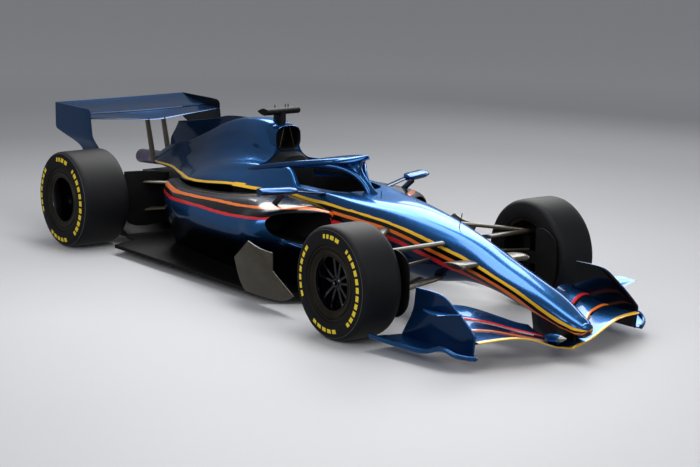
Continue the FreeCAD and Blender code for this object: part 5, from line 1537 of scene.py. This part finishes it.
# mirrors: a pod on a stay and a foot
mirror = {
    # forward and across
    "rows": [(-1.0268, .475), (-1.0574, .589), (-1.1016, .703)],
    # forward from the row, and up
    "profile": [(.0476, .736), (.030, .750), (.0068, .758), (-.0476, .757), (-.0476, .711), (0, .707),
                (.030, .717)],
    "ends": [0.80, 0.93, 1.0],   # how far the pod closes at each end
    # each arm's two ends, then its chord and thickness
    "stay": ((-.975, .228, .694), (-1.056, .500, .731), .060, .014),
    "foot": ((-1.190, .549, .606), (-1.0506, .551, .712), .044, .008),
    "podFrom": 0.474,            # the pod begins here across the car
    "podDarkness": 0.45,
    "stayDarkness": 0.85,
}
mirrorRows = [[at(x + dx, y, z) for dx, z in mirror["profile"]] for x, y in mirror["rows"]]
mirrorGrid = skinGrid(mirrorRows, 6, 5, (3, 4))
middleRow = mirrorGrid.mean(axis=1, keepdims=True)
closing = mirror["ends"] + [1.0] * (len(mirrorGrid) - 2 * len(mirror["ends"])) + mirror["ends"][::-1]
mirrorGrid = middleRow + (mirrorGrid - middleRow) * np.array(closing)[:, None, None]
podShell = dress(soften(gridPiece("pod", mirrorGrid), 45), paint)
mirrorParts = [podShell]
for key, finish in (("stay", paint), ("foot", glossCarbon)):
    inner, outer, chord, thickness = mirror[key]
    mirrorParts.append(strutPiece(key, at(*inner), at(*outer), chord, thickness, finish))
mirrorLeft = joined("wingMirrorLeft", mirrorParts)
paintBands(mirrorLeft,
           lambda x, y, z: (0.0, mirror["podDarkness"] if y > mirror["podFrom"] else mirror["stayDarkness"]))
settleBoth(mirrorLeft, "chassis", "blue_paint", "wing_mirror_")

# camera bar over the airbox, with its stalk and aerials
bar = {
    "half": .140,
    "edges": (-1.8292, 1.138, -1.9584, 1.134),   # leading edge forward and up, trailing edge forward and up
    "thickness": 0.38,
    "middle": -1.893,
    "stalk": (1.045, 1.132, .140, .052),         # bottom, top, chord and thickness
    "aerials": (-.038, .052, .076),              # places across
    "aerial": [(1.13, .014), (1.155, .010), (1.1805, .005)],   # height and width
}
barRows = [(y, *bar["edges"]) for y in (-bar["half"], 0, bar["half"])]
cameraBar = dress(soften(wingPiece("cameraBar", barRows, bar["thickness"], 0.0, 6), 50), matBlack)
low, high, chord, thickness = bar["stalk"]
stalk = strutPiece("stalk", at(bar["middle"], 0, low), at(bar["middle"], 0, high), chord, thickness, matBlack)
barParts = [cameraBar, stalk]
for y in bar["aerials"]:
    line = [at(bar["middle"], y, z) for z, _ in bar["aerial"]]
    girth = [width for _, width in bar["aerial"]]
    barParts.append(dress(soften(sweep("aerial", line, girth, girth, 10, (1, 0, 0)), 50), matBlack))
settle(joined("cameraHousing", barParts), "chassis", "black_carbon", "camera_housing")

# stub on each side of the nose: place across, leading edge forward and up, trailing edge forward and up
stub = [(.120, .4595, .455, .2803, .457), (.20, .4595, .455, .2803, .457), (.272, .4595, .455, .2803, .457),
        (.2795, .452, .455, .288, .457)]
stubLeft = dress(soften(wingPiece("noseStubLeft", stub, 0.20, 0.0, 4), 50), oliveCarbon)
settleBoth(stubLeft, "chassis", "satin_carbon", "nose_stubs")

# sensor pods under the nose and thin masts on top of it
sensor = {
    # forward, across and up, with the thickness at each point in sizes
    "line": [(1.020, .105, .122), (1.035, .105, .123), (1.075, .105, .128), (1.130, .105, .136),
             (1.160, .105, .141)],
    "sizes": [.010, .044, .062, .060, .044],
    "tip": [(1.160, .105, .141), (1.178, .105, .1437), (1.205, .105, .148)],
    "tipSizes": [.042, .028, .004],
    "masts": [[(-.700, 0, .690), (-.705, 0, .735)], [(.095, 0, .600), (.105, 0, .650), (.123, 0, .714)]],
    "mastSize": .0055,
    "darkness": 0.15,
}
podParts = []
for line, sizes, finish in ((sensor["line"], sensor["sizes"], paint),
                            (sensor["tip"], sensor["tipSizes"], machined)):
    points = throughPoints([at(*p) for p in line], 4)
    girth = throughPoints([(size,) for size in sizes], 4)[:, 0]
    podParts.append(dress(soften(sweep("sensorPod", points, girth, girth, 18), 50), finish))
settleBoth(plainBlue(joined("sensorPodLeft", podParts), sensor["darkness"]), "chassis", "blue_paint")
for index, line in enumerate(sensor["masts"]):
    mast = tube("noseMast" + str(index), [at(*p) for p in line], sensor["mastSize"], sensor["mastSize"], 10,
                (1, 0, 0))
    settle(dress(soften(mast, 50), matBlack), "chassis", "black_carbon")

# pylons that carry the two wings
pylon = {
    # lower end, upper end, chord, thickness, chord at the top
    "rear": ((-3.5053, .0722, .560), (-3.5976, .0722, .886), .084, .014, .070),
    "front": [(1.075, .262), (.845, .332), (.896, .086), (1.1, .070)],   # forward and up
    "frontAcross": .0643,
    "frontThickness": .012,
}
low, high, chord, thickness, topChord = pylon["rear"]
pylonLeft = strutPiece("rearPylonLeft", at(*low), at(*high), chord, thickness, oliveCarbon, topChord)
settleBoth(pylonLeft, "chassis", "satin_carbon", "rear_wing_pylons")
frontPylon = [at(x, pylon["frontAcross"], z) for x, z in pylon["front"]]
frontPylonLeft = dress(slab("frontPylonLeft", frontPylon, (0, pylon["frontThickness"], 0), 0.004),
                       glossCarbon)
settleBoth(soften(frontPylonLeft, 40), "chassis", "black_carbon", "front_wing_pylons")

# exhaust: one open pipe that runs rearwards and slightly down
exhaust = {
    # radius and distance along the pipe: up the bore, over the lip and back along the outside
    "profile": [(.0495, 0.0), (.0495, .34), (.0505, .3495), (.0545, .3495), (.0548, .34), (.0550, .0)],
    "start": (-3.462, .5865),
    "fall": .0717,
    "facets": 40,
}
startX, startZ = exhaust["start"]
pipeGrid = []
for facet in range(exhaust["facets"]):
    turn = 2 * math.pi * facet / exhaust["facets"]
    pipeGrid.append([at(startX - run, radius * math.cos(turn),
                        startZ - run * exhaust["fall"] + radius * math.sin(turn))
                     for radius, run in exhaust["profile"]])
pipe = soften(gridPiece("exhaustPipe", np.array(pipeGrid + pipeGrid[:1]), caps=False), 40)
settle(dress(pipe, heatTitanium), "chassis", "titanium", "exhaust")

# upright fences ahead of the front brake ducts; they steer with the wheels
fence = {
    # forward and up
    "outline": [(.160, .556), (.236, .566), (.334, .512), (.352, .400), (.341, .248), (.300, .188),
                (.236, .150), (.160, .144)],
    "bracket": [(.020, .400), (.180, .400), (.180, .320), (.020, .320)],
    "across": .596,
    "thickness": .008,
    "bracketThickness": .006,
}
fenceLoop = roundLoop([at(x, fence["across"], z) for x, z in fence["outline"]], 4, (0, 7))
fenceParts = [slab("fence", [tuple(p) for p in fenceLoop], (0, fence["thickness"], 0), 0.002),
              slab("fenceBracket", [at(x, fence["across"] + .002, z) for x, z in fence["bracket"]],
                   (0, fence["bracketThickness"], 0), 0.001)]
fenceLeft = joined("ductFenceLeft", [dress(soften(part, 40), matBlack) for part in fenceParts])
settleBoth(fenceLeft, "knuckle_", "black_carbon")

# dark deflectors ahead of the rear suspension, between the gearbox and the wheel
deflector = {
    # across and up
    "outline": [(.150, .535), (.330, .560), (.538, .572), (.538, .300), (.500, .170), (.150, .160)],
    "forward": -3.150,
    "thickness": .010,
}
deflectorLoop = roundLoop([at(deflector["forward"], y, z) for y, z in deflector["outline"]], 4, (0, 2, 5))
deflectorLeft = slab("deflectorLeft", [tuple(p) for p in deflectorLoop], (-deflector["thickness"], 0, 0),
                     0.002)
settleBoth(dress(soften(deflectorLeft, 40), matBlack), "chassis", "black_carbon")
print("stage: halo, cockpit trim, boards and small parts made")

# the plainer CAD parts keep their shape and get their real finish
nodeFinishes = {
    "seat": glossCarbon, "floor_panel": dullCarbon, "plank": beech, "diffuser": glossCarbon,
    "engine_block": castMetal, "gearbox_block": castMetal, "crash_structure": glossCarbon,
    "front_upright": dullCarbon, "rear_upright": dullCarbon, "driveshaft": machined,
    "steering_wheel": glossCarbon, "steering_column": machined, "rain_light": matBlack,
}
for nodeName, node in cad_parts.items():
    for stem, finish in nodeFinishes.items():
        if nodeName == stem or nodeName.startswith(stem + "_"):
            dress(node, finish)
print("stage: frame nodes finished")
